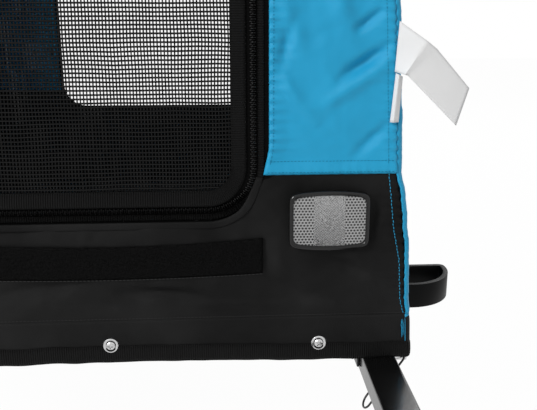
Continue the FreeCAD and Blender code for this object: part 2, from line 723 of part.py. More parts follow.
slider_x = DOOR_HALF_WIDTH + ZIP_CLEARANCE + SLIDER_WIDTH / 2
slider_top = DOOR_TOP - SLIDER_BELOW_DOOR_TOP
slider_back = zip_front - SMALL_GAP
slider_front = slider_back - SLIDER_THICK
plate = box(
    slider_x - SLIDER_WIDTH / 2, slider_x + SLIDER_WIDTH / 2, slider_front, slider_back,
    slider_top - SLIDER_LENGTH, slider_top,
)
pull_pin = V(slider_x, slider_front - SLIDER_BRIDGE / 2, slider_top - SLIDER_LENGTH / 2)
ear_half = SLIDER_WIDTH / 2 - SLIDER_EAR / 2
ears = [
    box(
        slider_x + side * ear_half - SLIDER_EAR / 2, slider_x + side * ear_half + SLIDER_EAR / 2,
        slider_front - SLIDER_BRIDGE, slider_front,
        pull_pin.z - SLIDER_BRIDGE / 2, pull_pin.z + SLIDER_BRIDGE / 2,
    )
    for side in (-1, 1)
]
across = V(SLIDER_WIDTH / 2, 0, 0)
pivot_wire = rod(pull_pin - across, pull_pin + across, PULL_PIN_RADIUS)
save("zip_slider", plate.fuse(ears + [pivot_wire]).removeSplitter())
tab_half = ear_half - SLIDER_EAR / 2 - SMALL_GAP
eye = rod(pull_pin - V(tab_half, 0, 0), pull_pin + V(tab_half, 0, 0), SLIDER_BRIDGE / 2 - RUNNING_CLEARANCE)
tab = box(
    pull_pin.x - tab_half, pull_pin.x + tab_half, pull_pin.y - PULL_THICK / 2, pull_pin.y + PULL_THICK / 2,
    pull_pin.z - PULL_LENGTH, pull_pin.z,
)
pull_bore = rod(pull_pin - across, pull_pin + across, PULL_PIN_RADIUS + RUNNING_CLEARANCE)
save("zip_pull", eye.fuse(tab).cut(pull_bore))

# Trim sewn or screwed to the end faces
hem_half = HEM_HALF_WIDTH - math.tan(LEAN) * HEM_BINDING_HEIGHT
hem_bindings = [
    box(
        -hem_half, hem_half, y, y + HEM_BINDING_THICK, HEM_HEIGHT, HEM_HEIGHT + HEM_BINDING_HEIGHT
    ).cut(screw_holes)
    for y in (FRONT - HEM_BINDING_THICK, REAR)
]
save("hem_bindings", *hem_bindings)
strip_middle = HEM_HEIGHT + STRIP_ABOVE_HEM
save(
    "hook_loop_strip",
    box(
        -STRIP_HALF_LENGTH, STRIP_HALF_LENGTH, FRONT - STRIP_THICK, FRONT,
        strip_middle - STRIP_HEIGHT / 2, strip_middle + STRIP_HEIGHT / 2,
    ),
)


def reflector(side):
    """A lens in its frame, on the front for side -1 and on the rear for side 1."""
    face = FRONT if side < 0 else REAR
    middle = HEM_HEIGHT + REFLECTOR_ABOVE_HEM
    low, high = middle - REFLECTOR_HEIGHT / 2, middle + REFLECTOR_HEIGHT / 2
    half = REFLECTOR_WIDTH / 2
    y0, y1 = sorted((face, face + side * REFLECTOR_DEPTH))
    case = rounded_plate(half, low, high, REFLECTOR_CORNER, y0, y1, True)
    hollow = face + side * (REFLECTOR_DEPTH - LENS_DEPTH)
    h0, h1 = sorted((hollow, face + side * REFLECTOR_DEPTH))
    inner = half - REFLECTOR_RIM
    pocket = rounded_plate(inner, low + REFLECTOR_RIM, high - REFLECTOR_RIM, REFLECTOR_RIM, h0, h1, True)
    place = V(REFLECTOR_X, 0, 0)
    return case.cut(pocket).translated(place), pocket.translated(place)


front_case, front_lens = reflector(-1)
rear_case, rear_lens = reflector(1)
save("reflector_frames", *both_sides(front_case), *both_sides(rear_case))
save("front_lenses", *both_sides(front_lens))
save("rear_lenses", *both_sides(rear_lens))

hem_screws, washers = [], []
for x, side in screw_places:
    face = (FRONT if side < 0 else REAR) + side * HEM_BINDING_THICK
    seat = face + side * WASHER_THICK
    tip = face - side * SCREW_GRIP
    head = rod(V(x, seat, BASE_Z), V(x, seat + side * SCREW_HEAD_HEIGHT, BASE_Z), SCREW_HEAD_RADIUS)
    hem_screws.append(head.fuse(rod(V(x, tip, BASE_Z), V(x, seat, BASE_Z), SCREW_RADIUS)))
    disc = rod(V(x, face, BASE_Z), V(x, seat, BASE_Z), WASHER_RADIUS)
    washers.append(disc.cut(screw_hole(x, side, SCREW_RADIUS + RUNNING_CLEARANCE)))
save("hem_screws", *hem_screws)
save("cup_washers", *washers)


def label(length, width, above_hem, droop):
    """A blank tag whose sewn end lies on the front cloth at the left corner seam, and droops from there."""
    z = HEM_HEIGHT + above_hem
    edge = HEM_HALF_WIDTH - math.tan(LEAN) * (above_hem + width / 2)
    tag = box(
        edge - LABEL_SEWN, edge + length - LABEL_SEWN,
        FRONT - LABEL_THICK, FRONT, z - width / 2, z + width / 2,
    )
    return tag.rotated(V(edge, FRONT, z), V(0, 1, 0), droop)


small_above_hem = LABEL_ABOVE_HEM - (LABEL_WIDTH + SMALL_LABEL_WIDTH) / 2 - LABEL_STEP
save(
    "corner_labels",
    label(LABEL_LENGTH, LABEL_WIDTH, LABEL_ABOVE_HEM, LABEL_DROOP),
    label(SMALL_LABEL_LENGTH, SMALL_LABEL_WIDTH, small_above_hem, 0.0),
)

# Rolled covers above the doorways, each held by two straps
roll_z = DOOR_TOP + ROLL_ABOVE_DOOR


def rolled_cover(y, half_width):
    return rod(V(-half_width, y, roll_z), V(half_width, y, roll_z), ROLL_RADIUS)


def roll_strap(y, x):
    start, end = V(x - STRAP_WIDTH / 2, y, roll_z), V(x + STRAP_WIDTH / 2, y, roll_z)
    return pipe(start, end, ROLL_RADIUS + SMALL_GAP + STRAP_THICK, ROLL_RADIUS + SMALL_GAP)


save("rain_cover_roll", rolled_cover(FRONT - ROLL_OFF, DOOR_HALF_WIDTH + ROLL_EXTRA_WIDTH))
save("rear_door_roll", rolled_cover(REAR + ROLL_OFF, REAR_DOOR_HALF_WIDTH + ROLL_EXTRA_WIDTH))
save(
    "roll_straps",
    *[roll_strap(y, x) for y in (FRONT - ROLL_OFF, REAR + ROLL_OFF) for x in (-STRAP_SPREAD, STRAP_SPREAD)],
)

# Tow bar in its receiver under the left rail
receiver_half = BAR_WIDTH / 2 + BAR_CLEARANCE
bore_low, bore_high = BAR_Z - BAR_HEIGHT / 2 - BAR_CLEARANCE, BAR_Z + BAR_HEIGHT / 2 + BAR_CLEARANCE
receiver_left = BAR_X + receiver_half + RECEIVER_WALL
receiver_right = BAR_X - receiver_half - RECEIVER_WALL
receiver_rear = FRONT + BAR_INSERT + RECEIVER_BACK
lock_hole = rod(V(0, LOCK_Y, BAR_Z), V(FAR, LOCK_Y, BAR_Z), LOCK_PIN_RADIUS + RUNNING_CLEARANCE)
receiver = box(
    receiver_right, receiver_left, FRONT + RECEIVER_FRONT, receiver_rear,
    bore_low - RECEIVER_WALL, BASE_BOTTOM,
)
receiver_bore = box(
    BAR_X - receiver_half, BAR_X + receiver_half, FRONT, receiver_rear, bore_low, bore_high
)
cheek_notch = box(
    receiver_right, receiver_left, FRONT, FRONT + RECEIVER_FRONT + RECEIVER_CHEEK,
    bore_low - RECEIVER_WALL, BAR_Z - RECEIVER_CHEEK_DROP,
)
save("tow_receiver", receiver.cut([receiver_bore, lock_hole, cheek_notch]))


def bar_section(y, wall):
    low, high = BAR_Z - BAR_HEIGHT / 2 + wall, BAR_Z + BAR_HEIGHT / 2 - wall
    wire = rounded_wire(BAR_WIDTH / 2 - wall, low, high, BAR_CORNER - wall / 2, y, True)
    return wire.translated(V(BAR_X, 0, 0))


bar_rear = FRONT + BAR_INSERT
bar_path = [
    V(BAR_X, bar_rear, BAR_Z),
    V(BAR_X, FRONT - BAR_STRAIGHT, BAR_Z),
    V(BAR_END_X, FRONT - BAR_SWEEP_END, BAR_Z + BAR_RISE),
    V(BAR_END_X, FRONT - BAR_END, BAR_Z + BAR_RISE),
]
bar_wires = [bar_section(bar_rear, 0.0), bar_section(bar_rear, BAR_WALL)]
section = Part.makeFace(bar_wires, "Part::FaceMakerBullseye")
save("tow_bar", bent_bar(bar_path, BAR_BEND, section).cut(lock_hole))

lock_left = receiver_left + SMALL_GAP
lock_right = receiver_right - LOCK_PIN_TAIL
lock_shank = rod(V(lock_right, LOCK_Y, BAR_Z), V(lock_left, LOCK_Y, BAR_Z), LOCK_PIN_RADIUS)
lock_head = rod(V(lock_left, LOCK_Y, BAR_Z), V(lock_left + LOCK_HEAD, LOCK_Y, BAR_Z), LOCK_HEAD_RADIUS)
bail_pivot = V(lock_left + LOCK_HEAD - LOCK_HEAD_RADIUS / 2, LOCK_Y, BAR_Z)
bail_hole = rod(
    bail_pivot - V(0, LOCK_HEAD_RADIUS, 0), bail_pivot + V(0, LOCK_HEAD_RADIUS, 0),
    BAIL_WIRE + RUNNING_CLEARANCE,
)
save("lock_pin", lock_shank.fuse(lock_head).cut(bail_hole))


def bail():
    """A wire loop about its pivot at the origin: the cross wire in the pin's head, two legs and a round tip."""
    hang = math.radians(BAIL_HANG)
    away = V(-math.cos(hang), 0, -math.sin(hang))
    heading = V(0, 1, 0)
    axis = heading.cross(away)
    cross = 2 * (BAIL_HALF_WIDTH - BAIL_BEND)
    leg = BAIL_LENGTH - BAIL_HALF_WIDTH - BAIL_BEND
    here = heading * (-cross / 2)
    ring = Part.makeCircle(BAIL_WIRE, here, heading)
    faces = []
    for run, bend, turn in ((cross, BAIL_BEND, 90.0), (leg, BAIL_HALF_WIDTH, 180.0), (leg, BAIL_BEND, 90.0)):
        faces.append(ring.extrude(heading * run))
        ring = ring.translated(heading * run)
        here = here + heading * run
        centre = here + axis.cross(heading) * bend
        faces.append(ring.revolve(centre, axis, turn))
        ring = ring.rotated(centre, axis, turn)
        rotation = FreeCAD.Rotation(axis, turn)
        here = centre + rotation.multVec(here - centre)
        heading = rotation.multVec(heading)
    return Part.Solid(Part.Shell(faces))


save("lock_pin_bail", bail().translated(bail_pivot))

# Hitch: a nylon tongue in the bar's end, a yoke that swings on it and the plate for the cycle's axle
end_y = FRONT - BAR_END
end_z = BAR_Z + BAR_RISE
yaw_y = end_y - YAW_FROM_TUBE
pitch_y = yaw_y - PITCH_FROM_YAW
tongue_half_x = BAR_WIDTH / 2 - BAR_WALL - RUNNING_CLEARANCE
tongue_half_z = BAR_HEIGHT / 2 - BAR_WALL - RUNNING_CLEARANCE
yaw_hole = rod(V(BAR_END_X, yaw_y, 0), V(BAR_END_X, yaw_y, FAR), YAW_RADIUS + RUNNING_CLEARANCE)
tongue = rounded_plate(
    tongue_half_x, end_z - tongue_half_z, end_z + tongue_half_z, BAR_CORNER - BAR_WALL / 2,
    yaw_y, end_y + PLUG_INSERT, True,
).translated(V(BAR_END_X, 0, 0))
tongue_nose = rod(
    V(BAR_END_X, yaw_y, end_z - tongue_half_z), V(BAR_END_X, yaw_y, end_z + tongue_half_z), tongue_half_x
)
save("hitch_tongue", tongue.fuse(tongue_nose).removeSplitter().cut(yaw_hole))

yoke_low, yoke_high = end_z - tongue_half_z - YOKE_GAP, end_z + tongue_half_z + YOKE_GAP
yoke_outer_low, yoke_outer_high = yoke_low - YOKE_PLATE, yoke_high + YOKE_PLATE
fork_back = yaw_y - tongue_half_x - YOKE_GAP - YOKE_SWING_GAP
yoke = box(
    BAR_END_X - YOKE_LUG, BAR_END_X + YOKE_LUG, fork_back, yaw_y, yoke_outer_low, yoke_outer_high
).fuse(rod(V(BAR_END_X, yaw_y, yoke_outer_low), V(BAR_END_X, yaw_y, yoke_outer_high), YOKE_LUG))
fork_gap = box(BAR_END_X - FAR, BAR_END_X + FAR, fork_back, FAR, yoke_low, yoke_high)
lug_half = YOKE_LUG / 2
lug_height = (yoke_outer_high - yoke_outer_low) / 2
lug = box(
    BAR_END_X - lug_half, BAR_END_X + lug_half, pitch_y, fork_back, end_z - lug_height, end_z + lug_height
).fuse(rod(V(BAR_END_X - lug_half, pitch_y, end_z), V(BAR_END_X + lug_half, pitch_y, end_z), lug_height))
web = box(
    BAR_END_X - YOKE_LUG, BAR_END_X + YOKE_LUG, fork_back - YOKE_PLATE, fork_back,
    yoke_outer_low, yoke_outer_high,
)
pitch_hole = rod(V(0, pitch_y, end_z), V(FAR, pitch_y, end_z), PITCH_RADIUS + RUNNING_CLEARANCE)
yoke = yoke.cut(fork_gap).fuse([web, lug]).removeSplitter()
save("hitch_yoke", yoke.cut([yaw_hole, pitch_hole]))
yaw_pin = rod(V(BAR_END_X, yaw_y, yoke_outer_low), V(BAR_END_X, yaw_y, yoke_outer_high), YAW_RADIUS)
yaw_caps = [
    rod(V(BAR_END_X, yaw_y, z), V(BAR_END_X, yaw_y, z + side * PIN_HEAD), YAW_RADIUS + PIN_HEAD)
    for z, side in ((yoke_outer_low, -1), (yoke_outer_high, 1))
]
save("yaw_pin", yaw_pin.fuse(yaw_caps))

plate_out = BAR_END_X - lug_half - SMALL_GAP
plate_in = plate_out - HITCH_PLATE
axle_y = pitch_y - HITCH_REACH
hitch_plate = box(
    plate_in, plate_out, axle_y, pitch_y, end_z - HITCH_PLATE_HALF_HEIGHT, end_z + HITCH_PLATE_HALF_HEIGHT
).fuse([
    rod(V(plate_in, y, end_z), V(plate_out, y, end_z), HITCH_PLATE_HALF_HEIGHT) for y in (axle_y, pitch_y)
]).removeSplitter()
axle_hole = rod(V(0, axle_y, end_z), V(FAR, axle_y, end_z), HITCH_BORE)
save("hitch_plate", hitch_plate.cut([pitch_hole, axle_hole]))
bolt_left, bolt_right = BAR_END_X + lug_half, plate_in


def across_hitch(x0, x1, radius):
    return rod(V(x0, pitch_y, end_z), V(x1, pitch_y, end_z), radius)


pitch_bolt = across_hitch(bolt_right - SMALL_GAP, bolt_left, PITCH_RADIUS).fuse([
    across_hitch(bolt_left, bolt_left + BOLT_HEAD, BOLT_HEAD_RADIUS),
    across_hitch(bolt_right - BOLT_HEAD, bolt_right - SMALL_GAP, BOLT_HEAD_RADIUS),
])
save("pitch_bolt", pitch_bolt)

# Wheels: each turns on a pin that pulls out of the axle bush


def turned(points):
    """Turn an outline of (X from the wheel's middle, radius) about the wheel's axis."""
    outline = Part.makePolygon([V(WHEEL_X + x, AXLE_Y, AXLE_Z + r) for x, r in points + points[:1]])
    return Part.Face(outline).revolve(V(0, AXLE_Y, AXLE_Z), V(1, 0, 0), 360)


def tyre():
    """A tyre with a round crown, hollow and open to the rim."""
    half = TYRE_WIDTH / 2
    bead_half = RIM_WIDTH / 2 - RIM_WALL - SMALL_GAP
    bead = RIM_RADIUS - RIM_WALL
    lip = RIM_RADIUS + RIM_WALL + SMALL_GAP
    middle = (TYRE_RADIUS + RIM_RADIUS) / 2
    inner = half - TYRE_WALL
    bead_in = bead_half - TYRE_WALL
    crown = (TYRE_SHOULDER_OUT * half, middle + TYRE_SHOULDER_UP * (TYRE_RADIUS - middle))
    inner_top = TYRE_RADIUS - TYRE_TREAD

    def at(x, radius):
        return V(WHEEL_X + x, AXLE_Y, AXLE_Z + radius)

    side = [at(bead_in, bead), at(bead_half, bead), at(bead_half, lip), at(half, middle)]
    other = [at(-half, middle), at(-bead_half, lip), at(-bead_half, bead), at(-bead_in, bead)]
    hollow = [at(-bead_in, lip), at(-inner, middle), at(inner, middle), at(bead_in, lip)]
    edges = [Part.makeLine(start, end) for start, end in zip(side, side[1:])]
    edges.append(Part.Arc(side[-1], at(*crown), at(0, TYRE_RADIUS)).toShape())
    edges.append(Part.Arc(at(0, TYRE_RADIUS), at(-crown[0], crown[1]), other[0]).toShape())
    edges += [Part.makeLine(start, end) for start, end in zip(other, other[1:] + hollow[:1])]
    edges.append(Part.makeLine(hollow[0], hollow[1]))
    edges.append(Part.Arc(hollow[1], at(0, inner_top), hollow[2]).toShape())
    edges.append(Part.makeLine(hollow[2], hollow[3]))
    edges.append(Part.makeLine(hollow[3], side[0]))
    return Part.Face(Part.Wire(edges)).revolve(V(0, AXLE_Y, AXLE_Z), V(1, 0, 0), 360)


rim_half = RIM_WIDTH / 2
rim_low = RIM_RADIUS - RIM_DEPTH
rim = turned([
    (rim_half, RIM_RADIUS + RIM_WALL), (rim_half - RIM_WALL, RIM_RADIUS + RIM_WALL),
    (rim_half - RIM_WALL, RIM_RADIUS - 2 * RIM_WALL), (-rim_half + RIM_WALL, RIM_RADIUS - 2 * RIM_WALL),
    (-rim_half + RIM_WALL, RIM_RADIUS + RIM_WALL), (-rim_half, RIM_RADIUS + RIM_WALL),
    (-rim_half, RIM_RADIUS - 2 * RIM_WALL), (-RIM_WELL_HALF_WIDTH, rim_low), (RIM_WELL_HALF_WIDTH, rim_low),
    (rim_half, RIM_RADIUS - 2 * RIM_WALL),
])
hub_inner = bush_end + HUB_GAP - WHEEL_X
flange_low, flange_high = FLANGE_FROM_CENTRE - FLANGE_THICK / 2, FLANGE_FROM_CENTRE + FLANGE_THICK / 2
hub_bore = AXLE_RADIUS + RUNNING_CLEARANCE
hub = turned([
    (hub_inner, hub_bore), (HUB_HALF_LENGTH, hub_bore), (HUB_HALF_LENGTH, HUB_RADIUS),
    (flange_high, HUB_RADIUS), (flange_high, FLANGE_RADIUS),
    (flange_low, FLANGE_RADIUS), (flange_low, HUB_RADIUS),
    (-flange_low, HUB_RADIUS), (-flange_low, FLANGE_RADIUS), (-flange_high, FLANGE_RADIUS),
    (-flange_high, HUB_RADIUS), (hub_inner, HUB_RADIUS),
])


def spoke(number):
    """A straight spoke from a hub flange to the rim's well. The two flanges' spokes lean opposite ways."""
    side = 1 if number % 2 else -1
    at_rim = math.radians(360.0 / SPOKE_COUNT * number)
    at_hub = at_rim + side * math.radians(SPOKE_SWING)
    hub_x = WHEEL_X + side * FLANGE_FROM_CENTRE
    rim_x = WHEEL_X + side * SPOKE_STAGGER

    def place(x, radius, angle):
        return V(x, AXLE_Y + radius * math.sin(angle), AXLE_Z + radius * math.cos(angle))

    hub_end = place(hub_x, SPOKE_HOLE_RADIUS, at_hub)
    return rod(hub_end, place(rim_x, rim_low + RIM_WALL, at_rim), SPOKE_RADIUS)


spokes = [spoke(number).cut([hub, rim]) for number in range(SPOKE_COUNT)]
spokes = [max(one.Solids, key=lambda solid: solid.Volume) for one in spokes]
head_inner = WHEEL_X + HUB_HALF_LENGTH + SMALL_GAP
head_outer = head_inner + AXLE_HEAD
button_bottom = head_outer - BUTTON_LENGTH
button_bore = rod(
    V(button_bottom - BUTTON_PROUD, AXLE_Y, AXLE_Z), V(FAR, AXLE_Y, AXLE_Z), BUTTON_RADIUS + RUNNING_CLEARANCE
)
axle_pin = rod(V(pin_inner, AXLE_Y, AXLE_Z), V(head_inner, AXLE_Y, AXLE_Z), AXLE_RADIUS).fuse(
    rod(V(head_inner, AXLE_Y, AXLE_Z), V(head_outer, AXLE_Y, AXLE_Z), AXLE_HEAD_RADIUS)
).cut(button_bore)
button = rod(V(button_bottom, AXLE_Y, AXLE_Z), V(head_outer + BUTTON_PROUD, AXLE_Y, AXLE_Z), BUTTON_RADIUS)
for name, turn in (("left", lambda shape: shape), ("right", mirrored)):
    save(name + "_tyre", turn(tyre()))
    save(name + "_rim", turn(rim))
    save(name + "_spokes", *[turn(one) for one in spokes])
    save(name + "_hub", turn(hub))
    save(name + "_axle_pin", turn(axle_pin))
    save(name + "_button", turn(button))
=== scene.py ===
# %% [markdown]
# # A folding dog trailer for a bicycle
# The trailer is a cloth cabin on a tube frame with two wheels and a tow bar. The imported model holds
# every rigid part at its real size, so it is loaded first and stays as it is. The script then
# dresses it: cloth, nets, zip, stitching and trim are built as new meshes, and the metal gets
# rounded edges and a finish.

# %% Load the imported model
import json
import math
import random

import bmesh
import bpy
from mathutils import Matrix, Vector, noise


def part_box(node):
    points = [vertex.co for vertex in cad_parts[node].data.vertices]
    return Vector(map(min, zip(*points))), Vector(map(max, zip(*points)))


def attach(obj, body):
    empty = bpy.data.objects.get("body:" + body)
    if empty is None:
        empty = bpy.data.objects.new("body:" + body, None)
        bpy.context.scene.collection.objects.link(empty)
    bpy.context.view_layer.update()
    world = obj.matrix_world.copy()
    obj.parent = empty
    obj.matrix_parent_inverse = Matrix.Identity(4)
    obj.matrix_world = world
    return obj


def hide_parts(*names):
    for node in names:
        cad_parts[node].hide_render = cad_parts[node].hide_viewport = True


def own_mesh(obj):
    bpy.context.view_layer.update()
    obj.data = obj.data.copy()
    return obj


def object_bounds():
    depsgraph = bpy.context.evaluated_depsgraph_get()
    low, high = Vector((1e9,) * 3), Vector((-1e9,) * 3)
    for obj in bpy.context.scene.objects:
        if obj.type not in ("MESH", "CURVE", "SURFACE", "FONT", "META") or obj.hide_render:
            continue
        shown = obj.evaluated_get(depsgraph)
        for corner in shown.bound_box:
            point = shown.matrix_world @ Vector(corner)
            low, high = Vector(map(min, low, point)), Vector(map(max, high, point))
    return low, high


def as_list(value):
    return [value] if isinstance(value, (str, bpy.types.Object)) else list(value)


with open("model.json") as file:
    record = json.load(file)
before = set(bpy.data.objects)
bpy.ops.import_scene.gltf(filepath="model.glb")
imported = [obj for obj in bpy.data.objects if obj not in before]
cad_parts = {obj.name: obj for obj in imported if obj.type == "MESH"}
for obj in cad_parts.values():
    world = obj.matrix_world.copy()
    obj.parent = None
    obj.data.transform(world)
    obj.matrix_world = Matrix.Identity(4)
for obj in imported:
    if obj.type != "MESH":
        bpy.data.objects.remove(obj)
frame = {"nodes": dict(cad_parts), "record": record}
cad_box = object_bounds()
slot_of = {part["node"]: part["material_slot"] for part in frame["record"]["subparts"]}

# %% [markdown]
# The photograph was taken close to the front, a little to the trailer's left and above the middle.
# A camera is set by its place, its tilt and its lens. The lens comes from the focal length in
# pixels, so that the picture's own frame is matched without any shift.

# %% Camera
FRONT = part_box("front_lower_panel")[0].y
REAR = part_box("rear_lower_panel")[1].y
IMAGE_WIDTH = 537
FOCAL_PIXELS = 730.0
SENSOR_MM = 36.0
CAMERA_AWAY = 0.703
CAMERA_X = 0.123
CAMERA_Z = 0.573
TILT_DOWN = 15.53
TURN_LEFT = 3.4
camera_data = bpy.data.cameras.new("camera")
camera_data.sensor_width = SENSOR_MM
camera_data.lens = FOCAL_PIXELS / IMAGE_WIDTH * SENSOR_MM
camera_data.clip_start = 0.01
camera = bpy.data.objects.new("camera", camera_data)
camera.location = (CAMERA_X, FRONT - CAMERA_AWAY, CAMERA_Z)
camera.rotation_euler = (math.radians(90 - TILT_DOWN), 0, math.radians(-TURN_LEFT))
bpy.context.scene.collection.objects.link(camera)
bpy.context.scene.camera = camera
bpy.context.scene.view_settings.view_transform = "Standard"
print("lens", round(camera_data.lens, 2), "mm")

# %% [markdown]
# Finishes are built from shader nodes. Two small classes keep that readable: one adds a node with
# its settings and sockets, the other wraps a socket so that Python sums on it become Math nodes.


# %% Sums on sockets
class Wire:
    """A socket of a shader tree. A sum on it adds a Math node."""

    def __init__(self, tree, socket):
        self.tree = tree
        self.socket = socket

    def maths(self, operation, *others):
        return self.tree.sums(operation, self, *others)

    def __add__(self, other):
        return self.maths("ADD", other)

    __radd__ = __add__

    def __mul__(self, other):
        return self.maths("MULTIPLY", other)

    __rmul__ = __mul__

    def __sub__(self, other):
        return self.maths("SUBTRACT", other)

    def __rsub__(self, other):
        return self.tree.sums("SUBTRACT", other, self)

    def __truediv__(self, other):
        return self.maths("DIVIDE", other)

    def __lt__(self, other):
        return self.maths("LESS_THAN", other)

    def __abs__(self):
        return self.maths("ABSOLUTE")

print("socket sums ready")

# %% [markdown]
# A tree is the second class. Its method node() makes any node, and the short methods after it are
# the few nodes that nearly every finish here needs.


# %% A shader tree
class Tree:
    """Adds nodes to one shader tree."""

    def __init__(self, node_tree):
        self.node_tree = node_tree

    def node(self, kind, settings=None, sockets=None, output=0):
        made = self.node_tree.nodes.new(kind)
        for name, value in (settings or {}).items():
            setattr(made, name, value)
        for name, value in (sockets or {}).items():
            self.feed(made.inputs[name], value)
        return Wire(self, made.outputs[output])

    def feed(self, socket, value):
        if isinstance(value, Wire):
            self.node_tree.links.new(value.socket, socket)
        else:
            socket.default_value = value

    def sums(self, operation, *values):
        return self.node("ShaderNodeMath", {"operation": operation}, dict(enumerate(values)))

    def mix(self, share, first, second):
        colours = {"data_type": "RGBA"}
        return self.node("ShaderNodeMix", colours, {0: share, 6: (*first, 1), 7: (*second, 1)}, 2)

    def noise(self, scale, detail=3.0):
        place = self.node("ShaderNodeTexCoord", output=3)
        return self.node("ShaderNodeTexNoise", None, {"Vector": place, "Scale": scale, "Detail": detail})

    def flat(self):
        """The two distances along a sheet, in metres, from its UV map."""
        place = self.node("ShaderNodeUVMap", {"uv_map": "flat"})
        parts = self.node("ShaderNodeSeparateXYZ", None, {0: place})
        return parts, Wire(self, parts.socket.node.outputs[1])

    def bump(self, height, distance):
        return self.node("ShaderNodeBump", None, {"Strength": 1.0, "Distance": distance, "Height": height})


print("shader helpers ready")

# %% [markdown]
# The studio is a pale floor and a white backdrop. A plain bright world would wash the object out,
# so the white is shown only to the camera and to mirrors, and softer light reaches the surfaces.
# The floor keeps a faint shadow.

# %% Studio
FLOOR_SIZE = 14.0
SOFT_LIGHT = 0.5
FLOOR_GLOW = 0.975
FLOOR_BELOW = 0.001


def shown_to_eye(tree):
    """1 for camera, mirror and glass rays, and 0 for the light that falls on surfaces."""
    path = tree.node("ShaderNodeLightPath")
    outputs = path.socket.node.outputs
    mirror = Wire(tree, outputs["Is Glossy Ray"])
    glass = Wire(tree, outputs["Is Transmission Ray"])
    return path.maths("MAXIMUM", mirror).maths("MAXIMUM", glass)


world = bpy.data.worlds.new("studio")
world.use_nodes = True
bpy.context.scene.world = world
world_tree = Tree(world.node_tree)
world_strength = shown_to_eye(world_tree) * (1 - SOFT_LIGHT) + SOFT_LIGHT
world_tree.feed(world.node_tree.nodes["Background"].inputs["Color"], (1, 1, 1, 1))
world_tree.feed(world.node_tree.nodes["Background"].inputs["Strength"], world_strength)

floor_material = bpy.data.materials.new("studio_floor")
floor_material.use_nodes = True
floor_tree = Tree(floor_material.node_tree)
pale = floor_tree.node("ShaderNodeBsdfDiffuse", None, {"Color": (0.95, 0.95, 0.95, 1)})
glow = floor_tree.node("ShaderNodeEmission", None, {"Color": (1, 1, 1, 1)})
seen = shown_to_eye(floor_tree) * FLOOR_GLOW
floor_mix = floor_tree.node("ShaderNodeMixShader", None, {0: seen, 1: pale, 2: glow})
floor_tree.feed(floor_material.node_tree.nodes["Material Output"].inputs["Surface"], floor_mix)
floor_bm = bmesh.new()
bmesh.ops.create_grid(floor_bm, x_segments=1, y_segments=1, size=FLOOR_SIZE / 2)
floor_mesh = bpy.data.meshes.new("studio_floor")
floor_bm.to_mesh(floor_mesh)
floor_bm.free()
floor_mesh.materials.append(floor_material)
floor = bpy.data.objects.new("studio_floor", floor_mesh)
floor.location.z = cad_box[0].z - FLOOR_BELOW
bpy.context.scene.collection.objects.link(floor)
print("floor", FLOOR_SIZE, "m wide")

# %% [markdown]
# Two large round lamps shade the cloth: the key from the front and a weaker one from behind, so
# that the sides that the photograph doesn't show are lit too.


# %% Lamps
def lamp(name, place, aim, size, watts):
    data = bpy.data.lights.new(name, "AREA")
    data.shape = "DISK"
    data.size = size
    data.energy = watts
    made = bpy.data.objects.new(name, data)
    made.location = place
    made.rotation_euler = (Vector(aim) - Vector(place)).to_track_quat("-Z", "Y").to_euler()
    bpy.context.scene.collection.objects.link(made)


lamp("key_lamp", (-2.0, -1.9, 2.2), (0.1, 0, 0.45), 0.9, 78)
lamp("rear_lamp", (1.8, 2.6, 2.4), (0, 0.3, 0.4), 1.6, 32)
print("lamps ready")

# %% [markdown]
# Each finish has the grain of the real stuff: a plain weave for the coated cloth, ribs for webbing,
# a fuzzy surface for hook-and-loop tape, orange peel in paint and brushed scratches in bright
# steel. Patterns that follow the cloth use a UV map measured in metres, so that a thread has its
# real width on every panel.

# %% Kinds of finish
finishes = {}


def finish(slot, dark, light, cloud=9.0, contrast=1.0, **sockets):
    """A finish whose colour drifts between two shades. The other sockets are constants."""
    material = bpy.data.materials.new(slot)
    material.use_nodes = True
    tree = Tree(material.node_tree)
    shader = material.node_tree.nodes["Principled BSDF"]
    for name, value in sockets.items():
        shader.inputs[name.replace("_", " ")].default_value = value
    share = (tree.noise(cloud, 5.0) - 0.5) * contrast + 0.5
    tree.feed(shader.inputs["Base Color"], tree.mix(share, dark, light))
    finishes[slot] = material
    return tree, shader


def woven(slot, dark, light, thread, depth, cloud=9.0, contrast=1.0, **sockets):
    """Coated cloth: crossed threads, and a roughness that drifts where the coating is rubbed."""
    tree, shader = finish(slot, dark, light, cloud, contrast, **sockets)
    along, across = tree.flat()
    turn = 2 * math.pi / thread
    threads = (along * turn).maths("SINE") * (across * turn).maths("SINE")
    tree.feed(shader.inputs["Normal"], tree.bump(threads + tree.noise(240.0) * 0.7, depth))
    rough = sockets["Roughness"]
    tree.feed(shader.inputs["Roughness"], tree.noise(16.0) * 0.16 + (rough - 0.08))


def ribbed(slot, dark, light, pitch, depth, **sockets):
    """Webbing: fine ribs across its length, with a thread grain over them."""
    tree, shader = finish(slot, dark, light, 60.0, **sockets)
    along, across = tree.flat()
    ribs = (along * (2 * math.pi / pitch)).maths("SINE")
    threads = (across * (4 * math.pi / pitch)).maths("SINE")
    tree.feed(shader.inputs["Normal"], tree.bump(ribs + threads * 0.35, depth))


def grained(slot, dark, light, grain, depth, rough_spread, **sockets):
    """A hard surface with a fine moulded or painted grain and a roughness that drifts."""
    tree, shader = finish(slot, dark, light, 22.0, **sockets)
    tree.feed(shader.inputs["Normal"], tree.bump(tree.noise(grain, 2.0), depth))
    rough = sockets["Roughness"]
    drift = tree.noise(35.0, 4.0) * (2 * rough_spread) + (rough - rough_spread)
    tree.feed(shader.inputs["Roughness"], drift)


def grey(value):
    return (value, value, value)


print("kinds of finish ready")

# %% [markdown]
# The list of finishes gives each one its two shades, the size and depth of its grain, and the
# sockets that stay constant. Black stuffs differ mostly in how they shine, so their shades are
# close and their roughness is not.

